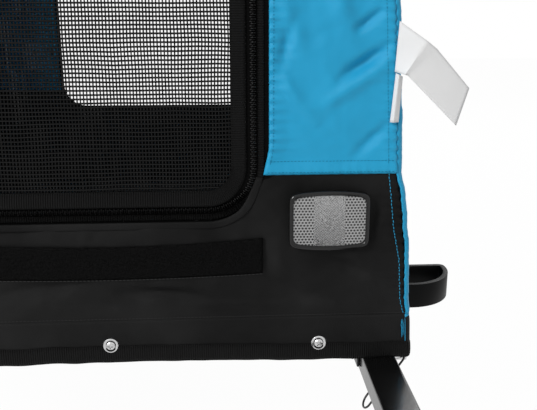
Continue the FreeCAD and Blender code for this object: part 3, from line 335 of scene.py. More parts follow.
# %% The list of finishes
woven(
    "black_cloth", grey(0.0018), grey(0.0088), 0.0011, 0.00010, cloud=13.0, contrast=3.2,
    Roughness=0.5, Specular_IOR_Level=0.10, Sheen_Weight=0.02,
)
woven(
    "blue_cloth", (0.007, 0.27, 0.49), (0.014, 0.345, 0.60), 0.0009, 0.00006,
    Roughness=0.42, Specular_IOR_Level=0.26, Sheen_Weight=0.03,
)
ribbed(
    "black_webbing", grey(0.0016), grey(0.0042), 0.0023, 0.00065, Roughness=0.55, Specular_IOR_Level=0.12
)
ribbed("zip_tape", grey(0.0012), grey(0.0030), 0.0014, 0.0002, Roughness=0.7, Specular_IOR_Level=0.05)
finish("hook_loop", grey(0.0003), grey(0.0062), 800.0, 3.2, Roughness=0.9, Specular_IOR_Level=0.04)
grained(
    "bar_paint", grey(0.003), grey(0.006), 260.0, 0.00004, 0.04,
    Roughness=0.2, Specular_IOR_Level=0.3, Coat_Weight=0.1, Coat_IOR=1.5,
)
print("cloth, tape and bar finishes", len(finishes))

# %% [markdown]
# The other hard finishes differ only in numbers, so they are rows of a table: a dark and a light
# grey, the grain's scale and depth, how far the roughness drifts, the roughness, and how much a
# plastic shines.

# %% Plastic, paint, rubber and metal
PLAIN = (
    ("black_net", 0.0010, 0.0028, 900.0, 0.0001, 0.08, 0.36, 0.2),
    ("zip_black", 0.004, 0.010, 700.0, 0.00005, 0.08, 0.3, 0.45),
    ("black_plastic", 0.0015, 0.0035, 900.0, 0.00012, 0.08, 0.42, 0.08),
    ("bezel", 0.004, 0.008, 900.0, 0.00004, 0.05, 0.2, 0.32),
    ("white_label", 0.64, 0.74, 1200.0, 0.0001, 0.05, 0.55, 0.3),
    ("frame_paint", 0.005, 0.010, 420.0, 0.0001, 0.06, 0.32, 0.25),
    ("wire_steel", 0.008, 0.02, 500.0, 0.00005, 0.05, 0.22, 0.5),
    ("tyre_rubber", 0.011, 0.021, 700.0, 0.0003, 0.08, 0.72, 0.25),
    ("floor_panel", 0.012, 0.022, 600.0, 0.0003, 0.06, 0.7, 0.2),
    ("bow_rod", 0.02, 0.035, 500.0, 0.0001, 0.06, 0.4, 0.4),
    ("nylon", 0.012, 0.02, 800.0, 0.0002, 0.08, 0.5, 0.35),
)
METALS = (
    ("bright_steel", 0.5, 0.68, 300.0, 0.00006, 0.08, 0.24),
    ("rim_alloy", 0.42, 0.55, 420.0, 0.00006, 0.07, 0.3),
    ("spoke_steel", 0.45, 0.6, 500.0, 0.00004, 0.06, 0.22),
)
for slot, dark, light, *grain, rough, shine in PLAIN:
    grained(slot, grey(dark), grey(light), *grain, Roughness=rough, Specular_IOR_Level=shine)
for slot, dark, light, *grain, rough in METALS:
    grained(slot, grey(dark), grey(light), *grain, Roughness=rough, Metallic=1.0)
print("finishes", len(finishes))

# %% [markdown]
# A reflector's lens is clear plastic with rows of small corner prisms moulded behind it. Each prism
# sends light back where it came from, so under a camera the outer thirds look pale with dark dots
# and the middle third shows fine slanting lines. That light is painted into the lens's colour: the
# pale prisms are painted reflection, and the middle third has painted glints and is painted lighter
# towards the top. The pattern is drawn from the lens's own measure in metres.

# %% Lens finishes
DOT_PITCH = 0.0034
LENS_THIRD = 0.0155
PRISM_PITCH = 0.0027
ROW_STEP = DOT_PITCH * 0.866
DOT_RADIUS = 0.25


def lens_finish(slot, dark, light):
    tree, shader = finish(slot, dark, light, Roughness=0.25, Specular_IOR_Level=0.3, Coat_Weight=0.15)
    along, across = tree.flat()
    row = (across / ROW_STEP).maths("FLOOR")
    shifted = along / DOT_PITCH + row.maths("MODULO", 2.0) * 0.5
    dot_x = shifted.maths("FRACT") - 0.5
    dot_z = (across / ROW_STEP).maths("FRACT") - 0.5
    from_dot = (dot_x * dot_x + dot_z * dot_z).maths("SQRT")
    dots = ((from_dot - DOT_RADIUS) * 6).maths("MINIMUM", 1.0).maths("MAXIMUM", 0.0)
    slant = ((along + across) / PRISM_PITCH).maths("PINGPONG", 0.5) * 2
    counter = ((along - across) / PRISM_PITCH).maths("PINGPONG", 0.5) * 2
    # Painted light: the pale base colour is painted reflection of the prisms, the random facets are painted
    # glints, and across * 8 paints the middle third lighter towards the top.
    painted_glints = (tree.noise(1350.0, 0.0) - 0.5) * 2.3
    lines_and_painted_glints = slant * counter + painted_glints + 0.45 + across * 8
    middle = abs(along) < LENS_THIRD
    pattern = middle * lines_and_painted_glints + (1 - middle) * dots * (0.55 + tree.noise(500.0) * 0.5)
    tree.feed(shader.inputs["Base Color"], tree.mix(pattern.maths("MINIMUM", 1.0), dark, light))
    tree.feed(shader.inputs["Normal"], tree.bump(pattern, 0.0004))


lens_finish("clear_lens", grey(0.015), grey(0.40))
lens_finish("red_lens", (0.06, 0.002, 0.002), (0.6, 0.016, 0.012))
# The blue_thread finish is a darker blue than the cloth: painted shade for the shadow in the needle holes
# of the stitch rows on the blue cloth.
finish("blue_thread", (0.004, 0.11, 0.20), (0.006, 0.15, 0.27), Roughness=0.6, Specular_IOR_Level=0.1)
print("lens finishes ready")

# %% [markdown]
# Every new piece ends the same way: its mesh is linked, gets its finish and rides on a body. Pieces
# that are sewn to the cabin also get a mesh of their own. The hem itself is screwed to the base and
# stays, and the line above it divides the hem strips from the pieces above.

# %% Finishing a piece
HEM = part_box("front_lower_panel")[0].z
HEM_FOLD = HEM + 0.0455
SHARP_EDGE = 38.0
CLOTH = 0.0011


def finish_piece(name, bm, slot, body="root", crumples=True, stands_for=(), look=None):
    mesh = bpy.data.meshes.new(name)
    bm.to_mesh(mesh)
    bm.free()
    mesh.materials.append(finishes[look or slot])
    mesh.shade_smooth()
    mesh.set_sharp_from_angle(angle=math.radians(SHARP_EDGE))
    piece = bpy.data.objects.new(name, mesh)
    bpy.context.scene.collection.objects.link(piece)
    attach(piece, body)
    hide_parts(*stands_for)
    if crumples:
        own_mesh(piece)
    print(name, len(mesh.polygons), "faces")
    return piece


def flat_area(bm):
    return sum(face.calc_area() for face in bm.faces)


def sew(name, bm, slot, flat, rests_on, held="stretched", thickness=CLOTH, whole=False, **ways):
    """Finish a sheet and thicken it inwards."""
    area = None if whole else min(flat_area(bm), flat[0] * flat[1])
    piece = finish_piece(name, bm, slot, **ways)
    if thickness:
        wall = piece.modifiers.new("thickness", "SOLIDIFY")
        wall.thickness = thickness
        wall.offset = -1.0
    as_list(rests_on)
    return piece


print("pieces fold towards", round(HEM_FOLD, 4), "m")

# %% [markdown]
# A sheet starts as a flat grid, and a function moves each point to its place. The same function
# gives the point's two distances on the flat cloth, which become the UV map that the weave follows.
# Soft dents come from smooth noise, and fade() lets a form die out towards a seam.


# %% Grids, fades and dents
def laid_grid(columns, rows, place):
    """A grid of quads laid out by place(u, v), which gives a point and its distances on the flat cloth."""
    bm = bmesh.new()
    bmesh.ops.create_grid(bm, x_segments=columns, y_segments=rows, size=0.5)
    spots = {}
    for vert in bm.verts:
        point, flat = place(vert.co.x + 0.5, vert.co.y + 0.5)
        vert.co = point
        spots[vert] = flat
    layer = bm.loops.layers.uv.new("flat")
    for face in bm.faces:
        for loop in face.loops:
            loop[layer].uv = spots[loop.vert]
    return bm


def fade(start, end, value):
    """0 at start, 1 at end, and smooth between."""
    share = min(1.0, max(0.0, (value - start) / (end - start)))
    return share * share * (3 - 2 * share)


def rumple(x, z, size, seed):
    """Soft unevenness between about -1 and 1, with bumps of that size in metres."""
    return noise.noise(Vector((x / size, z / size, seed)))


def dome(v, power=4):
    """1 across the middle of a tape and 0 at its two edges."""
    return 1 - (2 * v - 1) ** power


print("grid helpers ready")

# %% [markdown]
# The cabin's section is a leaning side, a round shoulder over the top rail and a roof with a slight
# crown. The shoulder's centre is the top rail's own, so the section is worked out from the packed
# rail and roof. A point on the sides or roof is then found from two distances: along the trailer
# and up the section.

# %% The cabin's section
LEAN = math.radians(4.2)
TUBE_RADIUS = 0.0095
SHOULDER_RADIUS = 0.0151
CORNER = 0.006
hem_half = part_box("front_lower_panel")[1].x
rail_low, rail_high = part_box("left_top_rail")
shoulder_x = rail_low.x + TUBE_RADIUS
shoulder_z = rail_high.z - TUBE_RADIUS
roof_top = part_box("roof_panel")[1].z
drop = roof_top - shoulder_z
roof_radius = (shoulder_x**2 + drop**2 - SHOULDER_RADIUS**2) / (2 * (drop - SHOULDER_RADIUS))
roof_centre = roof_top - roof_radius
roof_turn = math.atan2(shoulder_z - roof_centre, shoulder_x)
side_length = (shoulder_z + SHOULDER_RADIUS * math.sin(LEAN) - HEM) / math.cos(LEAN)
shoulder_length = SHOULDER_RADIUS * (roof_turn - LEAN)
half_section = side_length + shoulder_length + roof_radius * (math.pi / 2 - roof_turn)
print("half section", round(half_section, 3), "m")

# %% [markdown]
# Cloth over a frame is never quite straight. A list of heights and bulges follows the outline in
# the photograph, and the section, a point and the way it faces, is worked out with that bulge in
# it.

# %% Points on the section
BULGES = [(0.0, 0.0055), (0.055, 0.0065), (0.11, 0.0080), (0.155, 0.0070), (0.20, 0.0026), (0.26, 0.0040),
          (0.35, 0.0055), (0.42, 0.0060), (0.54, 0.0030), (0.60, 0.0)]


def bulge(up):
    """How far the cloth stands out from the straight lean, a height above the hem."""
    for (low, start), (high, end) in zip(BULGES, BULGES[1:]):
        if up < high:
            return start + (end - start) * fade(low, high, up)
    return 0.0


def side_x(z):
    """Half the cabin's width at a height, below the shoulder."""
    return hem_half - math.tan(LEAN) * (z - HEM) + bulge(z - HEM)


def section(s):
    """A point on the section and the way it faces, a distance up from the left hem."""
    if s > half_section:
        point, facing = section(2 * half_section - s)
        return Vector((-point.x, 0, point.z)), Vector((-facing.x, 0, facing.z))
    if s < side_length:
        point = Vector((hem_half - math.sin(LEAN) * s, 0, HEM + math.cos(LEAN) * s))
        point.x += bulge(point.z - HEM)
        return point, Vector((math.cos(LEAN), 0, math.sin(LEAN)))
    if s < side_length + shoulder_length:
        turn = LEAN + (s - side_length) / SHOULDER_RADIUS
        facing = Vector((math.cos(turn), 0, math.sin(turn)))
        return Vector((shoulder_x, 0, shoulder_z)) + facing * SHOULDER_RADIUS, facing
    turn = roof_turn + (s - side_length - shoulder_length) / roof_radius
    facing = Vector((math.cos(turn), 0, math.sin(turn)))
    return Vector((0, 0, roof_centre)) + facing * roof_radius, facing


corner_length = CORNER * math.pi / 2
sleeve_length = REAR - FRONT - 2 * CORNER + 2 * corner_length


def sleeve_point(t, s, lift):
    """A point of the sides and roof: t runs from the front seam round the corner to the rear seam."""
    near_end = min(t, sleeve_length - t)
    point, facing = section(s)
    inset = 0.0
    from_end = CORNER + near_end - corner_length
    if near_end < corner_length:
        turn = near_end / CORNER
        from_end = CORNER * (1 - math.cos(turn))
        inset = CORNER * (1 - math.sin(turn))
    point = point + facing * (lift - inset)
    point.y = FRONT + from_end if t < sleeve_length / 2 else REAR - from_end
    return point


def up_section(z):
    """The distance up the leaning side to a height."""
    return (z - HEM) / math.cos(LEAN)


print("section", round(2 * half_section, 3), "m round, length", round(REAR - FRONT, 3), "m")

# %% [markdown]
# The sides and roof are blue cloth wrapped round the corners to a seam on each end face. A pulled
# seam draws the cloth into short puckers, and between the poles it has soft dents. Both are moved
# into the mesh itself, because they show in the outline and in the way the light falls. The bottom
# strip, which is screwed to the base, is a piece of its own.

# %% Sides and roof
ROOF_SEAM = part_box("left_side_panel")[1].z
SIDE_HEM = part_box("left_side_panel")[0].z
MIDDLE = (FRONT + REAR) / 2
WINDOW_HALF_LENGTH = 0.235
WINDOW_LOW = 0.265
WINDOW_HIGH = 0.515
WINDOW_CORNER = 0.045
PUCKER_PITCH = 0.0096
END_SHARE = 0.08
SLEEVE_COLUMNS = 150
SLEEVE_ROWS = 130


def puckers(along, from_seam, depth, reach):
    """Short folds square to a seam, which die out a little way from it."""
    uneven = 1 + 0.35 * noise.noise(Vector((along / 0.03, 7.7, 0)))
    return depth * uneven * math.sin(2 * math.pi * along / PUCKER_PITCH) * math.exp(-from_seam / reach)


def along_sleeve(u):
    """Places along the trailer, closer together at the two round corners."""
    end = corner_length + 0.006
    if u < END_SHARE:
        return end * u / END_SHARE
    if u > 1 - END_SHARE:
        return sleeve_length - end * (1 - u) / END_SHARE
    return end + (sleeve_length - 2 * end) * (u - END_SHARE) / (1 - 2 * END_SHARE)


def sleeve_lift(t, s, low, high, seed):
    held = fade(0, 0.05, min(s - low, high - s)) * fade(0, 0.04, min(t, sleeve_length - t))
    from_end = min(t, sleeve_length - t)
    dents = 0.0040 * rumple(t, s, 0.16, seed) + 0.0020 * rumple(t, s, 0.06, seed + 3) - 0.0018
    lift = held * dents + puckers(t, min(s - low, high - s), 0.0006, 0.008)
    lift += 0.0019 * math.exp(-from_end / 0.03) * rumple(s, 0, 0.019, seed + 5)
    return lift + puckers(s, from_end, 0.0004, 0.009)


def sleeve_panel(low, high, rows, seed, dented=True):
    """Part of the sides and roof, between two distances up the section."""

    def place(u, v):
        t = along_sleeve(u)
        s = low + (high - low) * v
        lift = sleeve_lift(t, s, low, high, seed) if dented else 0.0
        return sleeve_point(t, s, lift), (t, s)

    return laid_grid(SLEEVE_COLUMNS, rows, place)


print("sleeve", round(sleeve_length, 3), "m long")

# %% [markdown]
# The two sides have a window each, and the hem strip makes room for the wheel guard. Faces of the
# grid inside such an opening are deleted, and tape covers the cut edge later.


# %% Side panels and roof
def in_round_box(x, z, half_x, half_z, corner):
    """True inside a rectangle with round corners about the origin."""
    over_x = max(0.0, abs(x) - half_x + corner)
    over_z = max(0.0, abs(z) - half_z + corner)
    return math.hypot(over_x, over_z) < corner


def delete_inside(bm, inside):
    doomed = [face for face in bm.faces if inside(face.calc_center_median())]
    bmesh.ops.delete(bm, geom=doomed, context="FACES")


def window_test(point):
    height = (point.z - HEM) / math.cos(LEAN) - (WINDOW_LOW + WINDOW_HIGH) / 2
    half = (WINDOW_HIGH - WINDOW_LOW) / 2
    return in_round_box(point.y - MIDDLE, height, WINDOW_HALF_LENGTH, half, WINDOW_CORNER)


guard_low, guard_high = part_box("wheel_guards")
GUARD_GAP = 0.004


def guard_test(point):
    beside = guard_low.y - GUARD_GAP < point.y < guard_high.y + GUARD_GAP
    return beside and point.z < guard_high.z + GUARD_GAP


s_hem, s_fold, s_seam = up_section(SIDE_HEM), up_section(HEM_FOLD), up_section(ROOF_SEAM)
section_length = 2 * half_section
for name, mirror, seed in (("left", False, 2.0), ("right", True, 11.0)):
    spans = [(s_hem, s_fold), (s_fold, s_seam)]
    if mirror:
        spans = [(section_length - high, section_length - low) for low, high in spans]
    strip = sleeve_panel(*spans[0], 10, seed, dented=False)
    delete_inside(strip, guard_test)
    strip_flat = (sleeve_length, s_fold - s_hem)
    sew(name + "_side_hem", strip, "blue_cloth", strip_flat, ["base_side_rails"], crumples=False)
    panel = sleeve_panel(*spans[1], SLEEVE_ROWS, seed)
    delete_inside(panel, window_test)
    panel_flat = (sleeve_length, s_seam - s_fold)
    covers = [name + "_side_panel"]
    sew(name + "_side", panel, "blue_cloth", panel_flat, [name + "_posts"], stands_for=covers)
roof = sleeve_panel(s_seam, section_length - s_seam, SLEEVE_ROWS, 23.0)
roof_flat = (sleeve_length, section_length - 2 * s_seam)
sew("roof", roof, "blue_cloth", roof_flat, ["left_top_rail", "right_top_rail"], stands_for=["roof_panel"])

# %% [markdown]
# The end faces are flat cloth between the two corner seams. The lower part is black, with the
# doorway cut into its upper edge, and the parts beside the doorway are blue, lapped over the black
# and sewn down with two rows. Creases seen in the photograph run slantwise across the blue, and the
# black has wide soft dents.

# %% End faces
COLOUR_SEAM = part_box("front_lower_panel")[1].z
DOOR_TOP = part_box("front_side_panels")[1].z
BLUE_LAP = 0.004
OPENINGS = {
    -1: {"half": 0.154, "low": 0.358, "corner": 0.050},
    1: {"half": 0.178, "low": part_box("rear_lower_panel")[0].z + 0.172, "corner": 0.045},
}
BLUE_EDGE = 0.1590
BLUE_FLARE = 0.0062
END_PLACE = {-1: FRONT, 1: REAR}


def end_point(side, x, z, lift):
    """A point on the front (side -1) or rear (side 1) face, lifted outwards."""
    return Vector((x, END_PLACE[side] + side * lift, z))


print("end faces at", round(FRONT, 3), "and", round(REAR, 3), "m")

# %% [markdown]
# A crease is a line on the cloth with a width and a depth: two ends, then the two sizes. It is
# deepest at its middle. Creases beyond the doorway's edge are mirrored to the other side.


# %% Creases
def crease(x, z, start, end, width, depth):
    """A soft fold along a line, deepest at its middle."""
    run = Vector(end) - Vector(start)
    away = Vector((x, z)) - Vector(start)
    share = away.dot(run) / run.length_squared
    off = abs(away.x * run.y - away.y * run.x) / run.length
    if not 0 < share < 1:
        return 0.0
    return depth * math.sin(math.pi * share) * math.exp(-((off / width) ** 2))


BLUE_CREASES = [
    ((0.2760, 0.568), (0.245, 0.545), 0.0043, -0.0054),
    ((0.2870, 0.536), (0.228, 0.498), 0.0059, -0.0074),
    ((0.2870, 0.522), (0.205, 0.468), 0.0078, 0.0041),
    ((0.1700, 0.590), (0.202, 0.520), 0.0086, 0.0046),
    ((0.1680, 0.500), (0.192, 0.566), 0.0062, -0.0035),
    ((0.1680, 0.515), (0.215, 0.455), 0.0070, 0.0035),
    ((0.2870, 0.462), (0.245, 0.422), 0.0055, -0.0038),
    ((0.2250, 0.610), (0.243, 0.535), 0.0094, 0.0041),
    ((0.1680, 0.640), (0.260, 0.610), 0.0094, -0.0035),
    ((0.1750, 0.720), (0.280, 0.660), 0.0094, 0.0041),
]
BLACK_CREASES = [
    ((0.0050, 0.287), (0.105, 0.281), 0.0060, -0.0062),
    ((0.0700, 0.272), (0.200, 0.268), 0.0050, 0.0030),
    ((0.1500, 0.302), (0.235, 0.268), 0.0100, -0.0044),
    ((0.2450, 0.335), (0.296, 0.262), 0.0085, 0.0038),
    ((-0.130, 0.285), (-0.010, 0.300), 0.0085, -0.0046),
    ((0.1700, 0.345), (0.183, 0.290), 0.0085, 0.0032),
    ((0.2800, 0.400), (0.262, 0.318), 0.0070, -0.0034),
    ((0.2100, 0.322), (0.285, 0.300), 0.0055, -0.0030),
]


print("creases", len(BLUE_CREASES) + len(BLACK_CREASES))

# %% [markdown]
# The lift of a face is the sum of its creases, its dents and the puckers at its seams. The black
# cloth goes under the blue at the colour seam, and the blue cloth's edges are turned under, so each
# has a lift of its own.


# %% Lifts
def face_lift(x, z, seed, creases):
    """How far the end cloth stands out from its plane."""
    edge = side_x(z) - CORNER - abs(x)
    held = fade(0, 0.030, edge)
    lift = held * (0.0026 * rumple(x, z, 0.075, seed) + 0.0016 * rumple(x, z, 0.030, seed + 2) - 0.0012)
    lift += held * 0.0006 * rumple(x + 0.5 * z, z - 0.5 * x, 0.013, seed + 4)
    for start, end, width, depth in creases:
        lift += fade(0, 0.012, edge) * crease(abs(x) if start[0] > 0.14 else x, z, start, end, width, depth)
    lift += puckers(z, edge, 0.0012, 0.009)
    return lift - 0.0014 * math.exp(-edge / 0.0014)


def lower_lift(side, x, z):
    """The black cloth lies under the blue at the colour seam and is held at the hem stitch."""
    top = fade(0.004, 0.03, COLOUR_SEAM + BLUE_LAP - z)
    lift = face_lift(x, z, 31.0 + side, BLACK_CREASES) * fade(0, 0.02, z - HEM_FOLD)
    return lift * top - 0.0012 * (1 - top)


def blue_lift(side, x, z):
    """The blue cloth is lapped over the black, and its edges are turned under and sewn."""
    inner = abs(x) - doorway_x(side, z)
    lower = z - COLOUR_SEAM + BLUE_LAP
    free = fade(0.001, 0.02, inner) * fade(0.002, 0.018, lower)
    seam = puckers(z, inner, 0.0017, 0.009) * fade(0, 0.03, lower) + puckers(x, lower, 0.0004, 0.006)
    rolled = 0.0012 * (1 - math.exp(-inner / 0.0012)) * (1 - math.exp(-lower / 0.0010))
    return face_lift(x, z, 41.0 + side + (x > 0), BLUE_CREASES) * free + seam + rolled + 0.0004


def doorway_x(side, z):
    """Half the width of a doorway at a height, or the blue cloth's edge where that stands further out."""
    hole = OPENINGS[side]
    below = max(0.0, hole["low"] + hole["corner"] - z)
    edge = hole["half"] - hole["corner"] + math.sqrt(max(0.0, hole["corner"] ** 2 - below**2))
    if side > 0:
        return edge
    return max(edge, BLUE_EDGE + BLUE_FLARE * fade(0.400, 0.440, z))


print("doorway's half width at the seam", round(doorway_x(-1, COLOUR_SEAM), 4), "m")

# %% [markdown]
# Each end face is three kinds of panel: the hem band that stays on the base, the black lower panel
# with the doorway cut out, and two blue panels that run from the doorway's edge to the corner seam.


# %% End panels
def across_face(side, u):
    """From -1 to 1 across an end face, so that its outside faces away from the cabin."""
    return (2 * u - 1) * -side


def doorway_test(side):
    hole = OPENINGS[side]
    middle = hole["low"] + 0.5
    return lambda point: in_round_box(point.x, point.z - middle, hole["half"], 0.5, hole["corner"])


def end_panel(side, columns, rows, low, high, lift, sign=0):
    """A panel of an end face from one height to another, whole or on one side of the doorway."""

    def place(u, v):
        z = low + (high - low) * v
        reach = side_x(z) - CORNER
        x = across_face(side, u) * reach
        if sign:
            share = u if sign * -side > 0 else 1 - u
            inner = doorway_x(side, z)
            x = sign * (inner + (reach - inner) * share)
        return end_point(side, x, z, lift(x, z)), (x, z)

    return laid_grid(columns, rows, place)


for name, side in (("front", -1), ("rear", 1)):
    band = end_panel(side, 200, 14, HEM, HEM_FOLD, lambda x, z: 0.0)
    band_flat = (2 * hem_half, HEM_FOLD - HEM)
    sew(name + "_hem", band, "black_cloth", band_flat, ["base_cross_tubes"], crumples=False)
    top = COLOUR_SEAM + BLUE_LAP
    lower = end_panel(side, 250, 72, HEM_FOLD, top, lambda x, z: lower_lift(side, x, z))
    delete_inside(lower, doorway_test(side))
    lower_flat = (2 * hem_half, COLOUR_SEAM - HEM_FOLD + BLUE_LAP)
    covers = [name + "_lower_panel"]
    sew(name + "_lower", lower, "black_cloth", lower_flat, ["base_cross_tubes"], stands_for=covers)
    for hand, sign in (("left", 1), ("right", -1)):
        foot = COLOUR_SEAM - BLUE_LAP
        blue = end_panel(side, 66, 150, foot, DOOR_TOP, lambda x, z: blue_lift(side, x, z), sign)
        blue_width = side_x(COLOUR_SEAM) - doorway_x(side, COLOUR_SEAM)
        blue_flat = (blue_width, DOOR_TOP - COLOUR_SEAM + BLUE_LAP)
        covers = [name + "_side_panels"]
        sew(f"{name}_{hand}_panel", blue, "blue_cloth", blue_flat, [hand + "_posts"], stands_for=covers)

# %% [markdown]
# Above each doorway a header runs up to the roof seam. Its lower edge is straight and its upper
# edge follows the roof's section, so the grid is simply ruled between the two.

# %% Headers
s_header = up_section(DOOR_TOP)


def header_place(side):
    def place(u, v):
        along = u if side > 0 else 1 - u
        top, facing = section(s_header + (section_length - 2 * s_header) * along)
        top = top - facing * CORNER
        low_x = (side_x(DOOR_TOP) - CORNER) * (1 - 2 * along)
        x = low_x + (top.x - low_x) * v
        z = DOOR_TOP + (top.z - DOOR_TOP) * v
        lift = 0.0012 * rumple(x, z, 0.06, 51 + side) * fade(0, 0.02, z - DOOR_TOP) * (1 - v) - 0.0004
        return end_point(side, x, z, lift), (x, z)

    return place


for name, side in (("front", -1), ("rear", 1)):
    header = laid_grid(140, 16, header_place(side))
    header_flat = (2 * side_x(DOOR_TOP), roof_top - DOOR_TOP)
    sew(name + "_header", header, "blue_cloth", header_flat, ["roof_bows"], stands_for=["door_headers"])

# %% [markdown]
# Tapes and bindings follow a U round the doorway or a closed loop round a window. A path gives the
# middle of a tape as a share of its length with an offset to one side, and a domed grid is laid
# along it. The ribs of the webbing are in its finish.

# %% Paths for tapes
def along_parts(lengths, share):
    """Which part of a path a share of its length falls in, and how far along that part."""
    away = share * sum(lengths)
    part = 0
    while part < len(lengths) - 1 and away > lengths[part]:
        away -= lengths[part]
        part += 1
    return part, away


def doorway_path(half, low, corner, top):
    """A U from the top left of a doorway down and round to its top right, with an offset outwards."""
    side = top - low - corner
    bend = corner * math.pi / 2
    bottom = 2 * (half - corner)
    lengths = [side, bend, bottom, bend, side]

    def at(share, offset):
        part, away = along_parts(lengths, share)
        f = away / lengths[part]
        reach = corner + offset
        if part == 0:
            return -half - offset, top - side * f
        if part == 1:
            turn = math.pi + f * math.pi / 2
            return -half + corner + reach * math.cos(turn), low + corner + reach * math.sin(turn)
        if part == 2:
            return -half + corner + bottom * f, low - offset
        if part == 3:
            turn = -math.pi / 2 + f * math.pi / 2
            return half - corner + reach * math.cos(turn), low + corner + reach * math.sin(turn)
        return half + offset, low + corner + side * f

    return at, sum(lengths)


print("doorway paths ready")

# %% [markdown]
# A window's path is a closed loop with four bends. A tape is then a domed grid between two offsets
# of any path, laid on its surface by a function that knows that surface.


# %% Loops and tapes
def loop_path(half_x, half_z, corner):
    """A closed loop round a rectangle with round corners, from the middle of its left side."""
    across, up = 2 * (half_x - corner), half_z - corner
    bend = corner * math.pi / 2
    lengths = [up, bend, across, bend, 2 * up, bend, across, bend, up]
    centres = [(-1, -1), (1, -1), (1, 1), (-1, 1)]

    def at(share, offset):
        part, away = along_parts(lengths, share)
        if part % 2:
            sign_x, sign_z = centres[part // 2]
            turn = math.pi + (part // 2 + away / bend) * math.pi / 2
            reach = corner + offset
            return (
                sign_x * (half_x - corner) + reach * math.cos(turn),
                sign_z * (half_z - corner) + reach * math.sin(turn),
            )
        if part in (0, 8):
            start = 0.0 if part == 0 else half_z - corner
            return -half_x - offset, start - away
        if part == 2:
            return -half_x + corner + away, -half_z - offset
        if part == 4:
            return half_x + offset, -half_z + corner + away
        return half_x - corner - away, half_z + offset

    return at, sum(lengths)


def tape(path, length, inner, outer, lay, rise=0.0006, cell=0.004, across=6):
    """A domed tape between two offsets of a path, laid on a surface by lay(x, z, lift)."""
    width = outer - inner

    def place(u, v):
        offset = outer - width * v
        x, z = path(min(u, 0.999999), offset)
        return lay(x, z, rise * dome(v)), (u * length, offset)

    return laid_grid(max(8, int(length / cell)), across, place)


def on_end(side, base):
    """Lay a tape on an end face, a base height above the cloth's plane."""
    return lambda x, z, lift: end_point(side, x * -side, z, base + lift)


print("paths ready")

# %% [markdown]
# The front door is a net leaf with a bound edge. Outside the binding lie the two halves of the zip:
# one tape sewn to the leaf and one to the cabin, each carrying every second tooth. Along the bottom
# the binding stands proud of the zip and shades it, and the black cloth's raw edge is turned under.

# %% Front door tapes
DOOR_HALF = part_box("front_door_binding")[1].x
DOOR_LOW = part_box("front_door_binding")[0].z
DOOR_CORNER = 0.042
SUNK_FROM = 0.002
SUNK_TO = 0.022
NARROWEST = 0.0105
TAPE_THICK = 0.0007
door_path, door_length = doorway_path(DOOR_HALF, DOOR_LOW, DOOR_CORNER, DOOR_TOP)


def part_of(path, start, end):
    """A stretch of a path between two shares of its length."""
    return lambda share, offset: path(start + (end - start) * share, offset)


def sunk(z):
    """1 along the bottom of the door, where the zip lies in the binding's shade, and 0 up its sides."""
    return 1 - fade(DOOR_LOW + SUNK_FROM, DOOR_LOW + SUNK_TO, z)


def on_door(base, sink=0.0, proud=0.0):
    """Lay a tape on the front face, deeper or prouder along the bottom."""
    return lambda x, z, lift: end_point(-1, x, z, base + lift + (proud - sink) * sunk(z))


def tape_piece(name, path, length, inner, outer, lay, slot="black_webbing", rests_on="front_lower", **ways):
    """A tape along a path. The words that shape it go to tape() and the others to finish_piece()."""
    shape = {word: ways.pop(word) for word in ("rise", "across") if word in ways}
    bm = tape(path, length, inner, outer, lay, **shape)
    width = outer - inner
    flat = (max(width, NARROWEST), flat_area(bm) / width)
    sew(name, bm, slot, flat, [rests_on], thickness=TAPE_THICK, **ways)


print("door edge", round(door_length, 3), "m")

# %% [markdown]
# From the leaf outwards come its binding, the leaf's zip tape, the cabin's zip tape with a fold
# over it, and the doorway's own turned edge. Each is one strip of the same path between two
# offsets.

# %% Door bindings and zip tapes
GAP_DEPTH = 0.0075
EDGE_DROP = 0.0068
BINDING_PROUD = 0.0040
door = (door_path, door_length)
tape_piece(
    "door_binding", *door, -0.0180, -0.0030, on_door(0.0012, proud=BINDING_PROUD),
    body="front_door", stands_for=["front_door_binding"], rise=0.0012,
)
tape_piece(
    "door_zip_tape", *door, -0.0045, 0.0036, on_door(-0.0006, GAP_DEPTH), "zip_black",
    body="front_door", look="zip_tape", rise=0.0003,
)
tape_piece(
    "cabin_zip_tape", *door, 0.0040, 0.0270, on_door(-0.0014, GAP_DEPTH), "zip_black",
    look="zip_tape", stands_for=["front_zip_coil"], rise=0.0004,
)
tape_piece("cabin_zip_fold", *door, 0.0080, 0.0150, on_door(-0.0009, GAP_DEPTH), rise=0.0015)
seam_share = (DOOR_TOP - COLOUR_SEAM + BLUE_LAP) / door_length
edge_path = part_of(door_path, seam_share, 1 - seam_share)


def on_edge(x, z, lift):
    return end_point(-1, x, z - EDGE_DROP * sunk(z), lift - 0.0002)


edge_length = door_length * (1 - 2 * seam_share)
tape_piece(
    "doorway_edge", edge_path, edge_length, 0.0072, 0.0150, on_edge, "black_cloth", rise=0.0008, across=8
)


def top_band_path(share, offset):
    return -DOOR_HALF + 2 * DOOR_HALF * share, DOOR_TOP - 0.0135 - offset


tape_piece(
    "door_top_binding", top_band_path, 2 * DOOR_HALF, -0.0130, 0.0, on_end(-1, 0.0012),
    rests_on="front_header", body="front_door",
)

# %% [markdown]
# Teeth and stitches are small lumps set along a path, a few dozen faces each. Every second tooth
# belongs to the door, so that the zip parts when the door opens. A stitch is a thread that dips
# into the cloth at both ends.

# %% Zip teeth
TOOTH_PITCH = 0.0021
ZIP_LINE = 0.0038
TOOTH_SHIFT = 0.0005
TOOTH_SIZE = (0.0030, 0.00082, 0.0015)


def add_lump(bm, place, along, up, size):
    """A small rounded lump with three half sizes: along, across and up."""
    turn = Matrix((along * size[0], along.cross(up) * size[1], up * size[2])).transposed().to_4x4()
    bmesh.ops.create_icosphere(bm, subdivisions=1, radius=1.0, matrix=Matrix.Translation(place) @ turn)


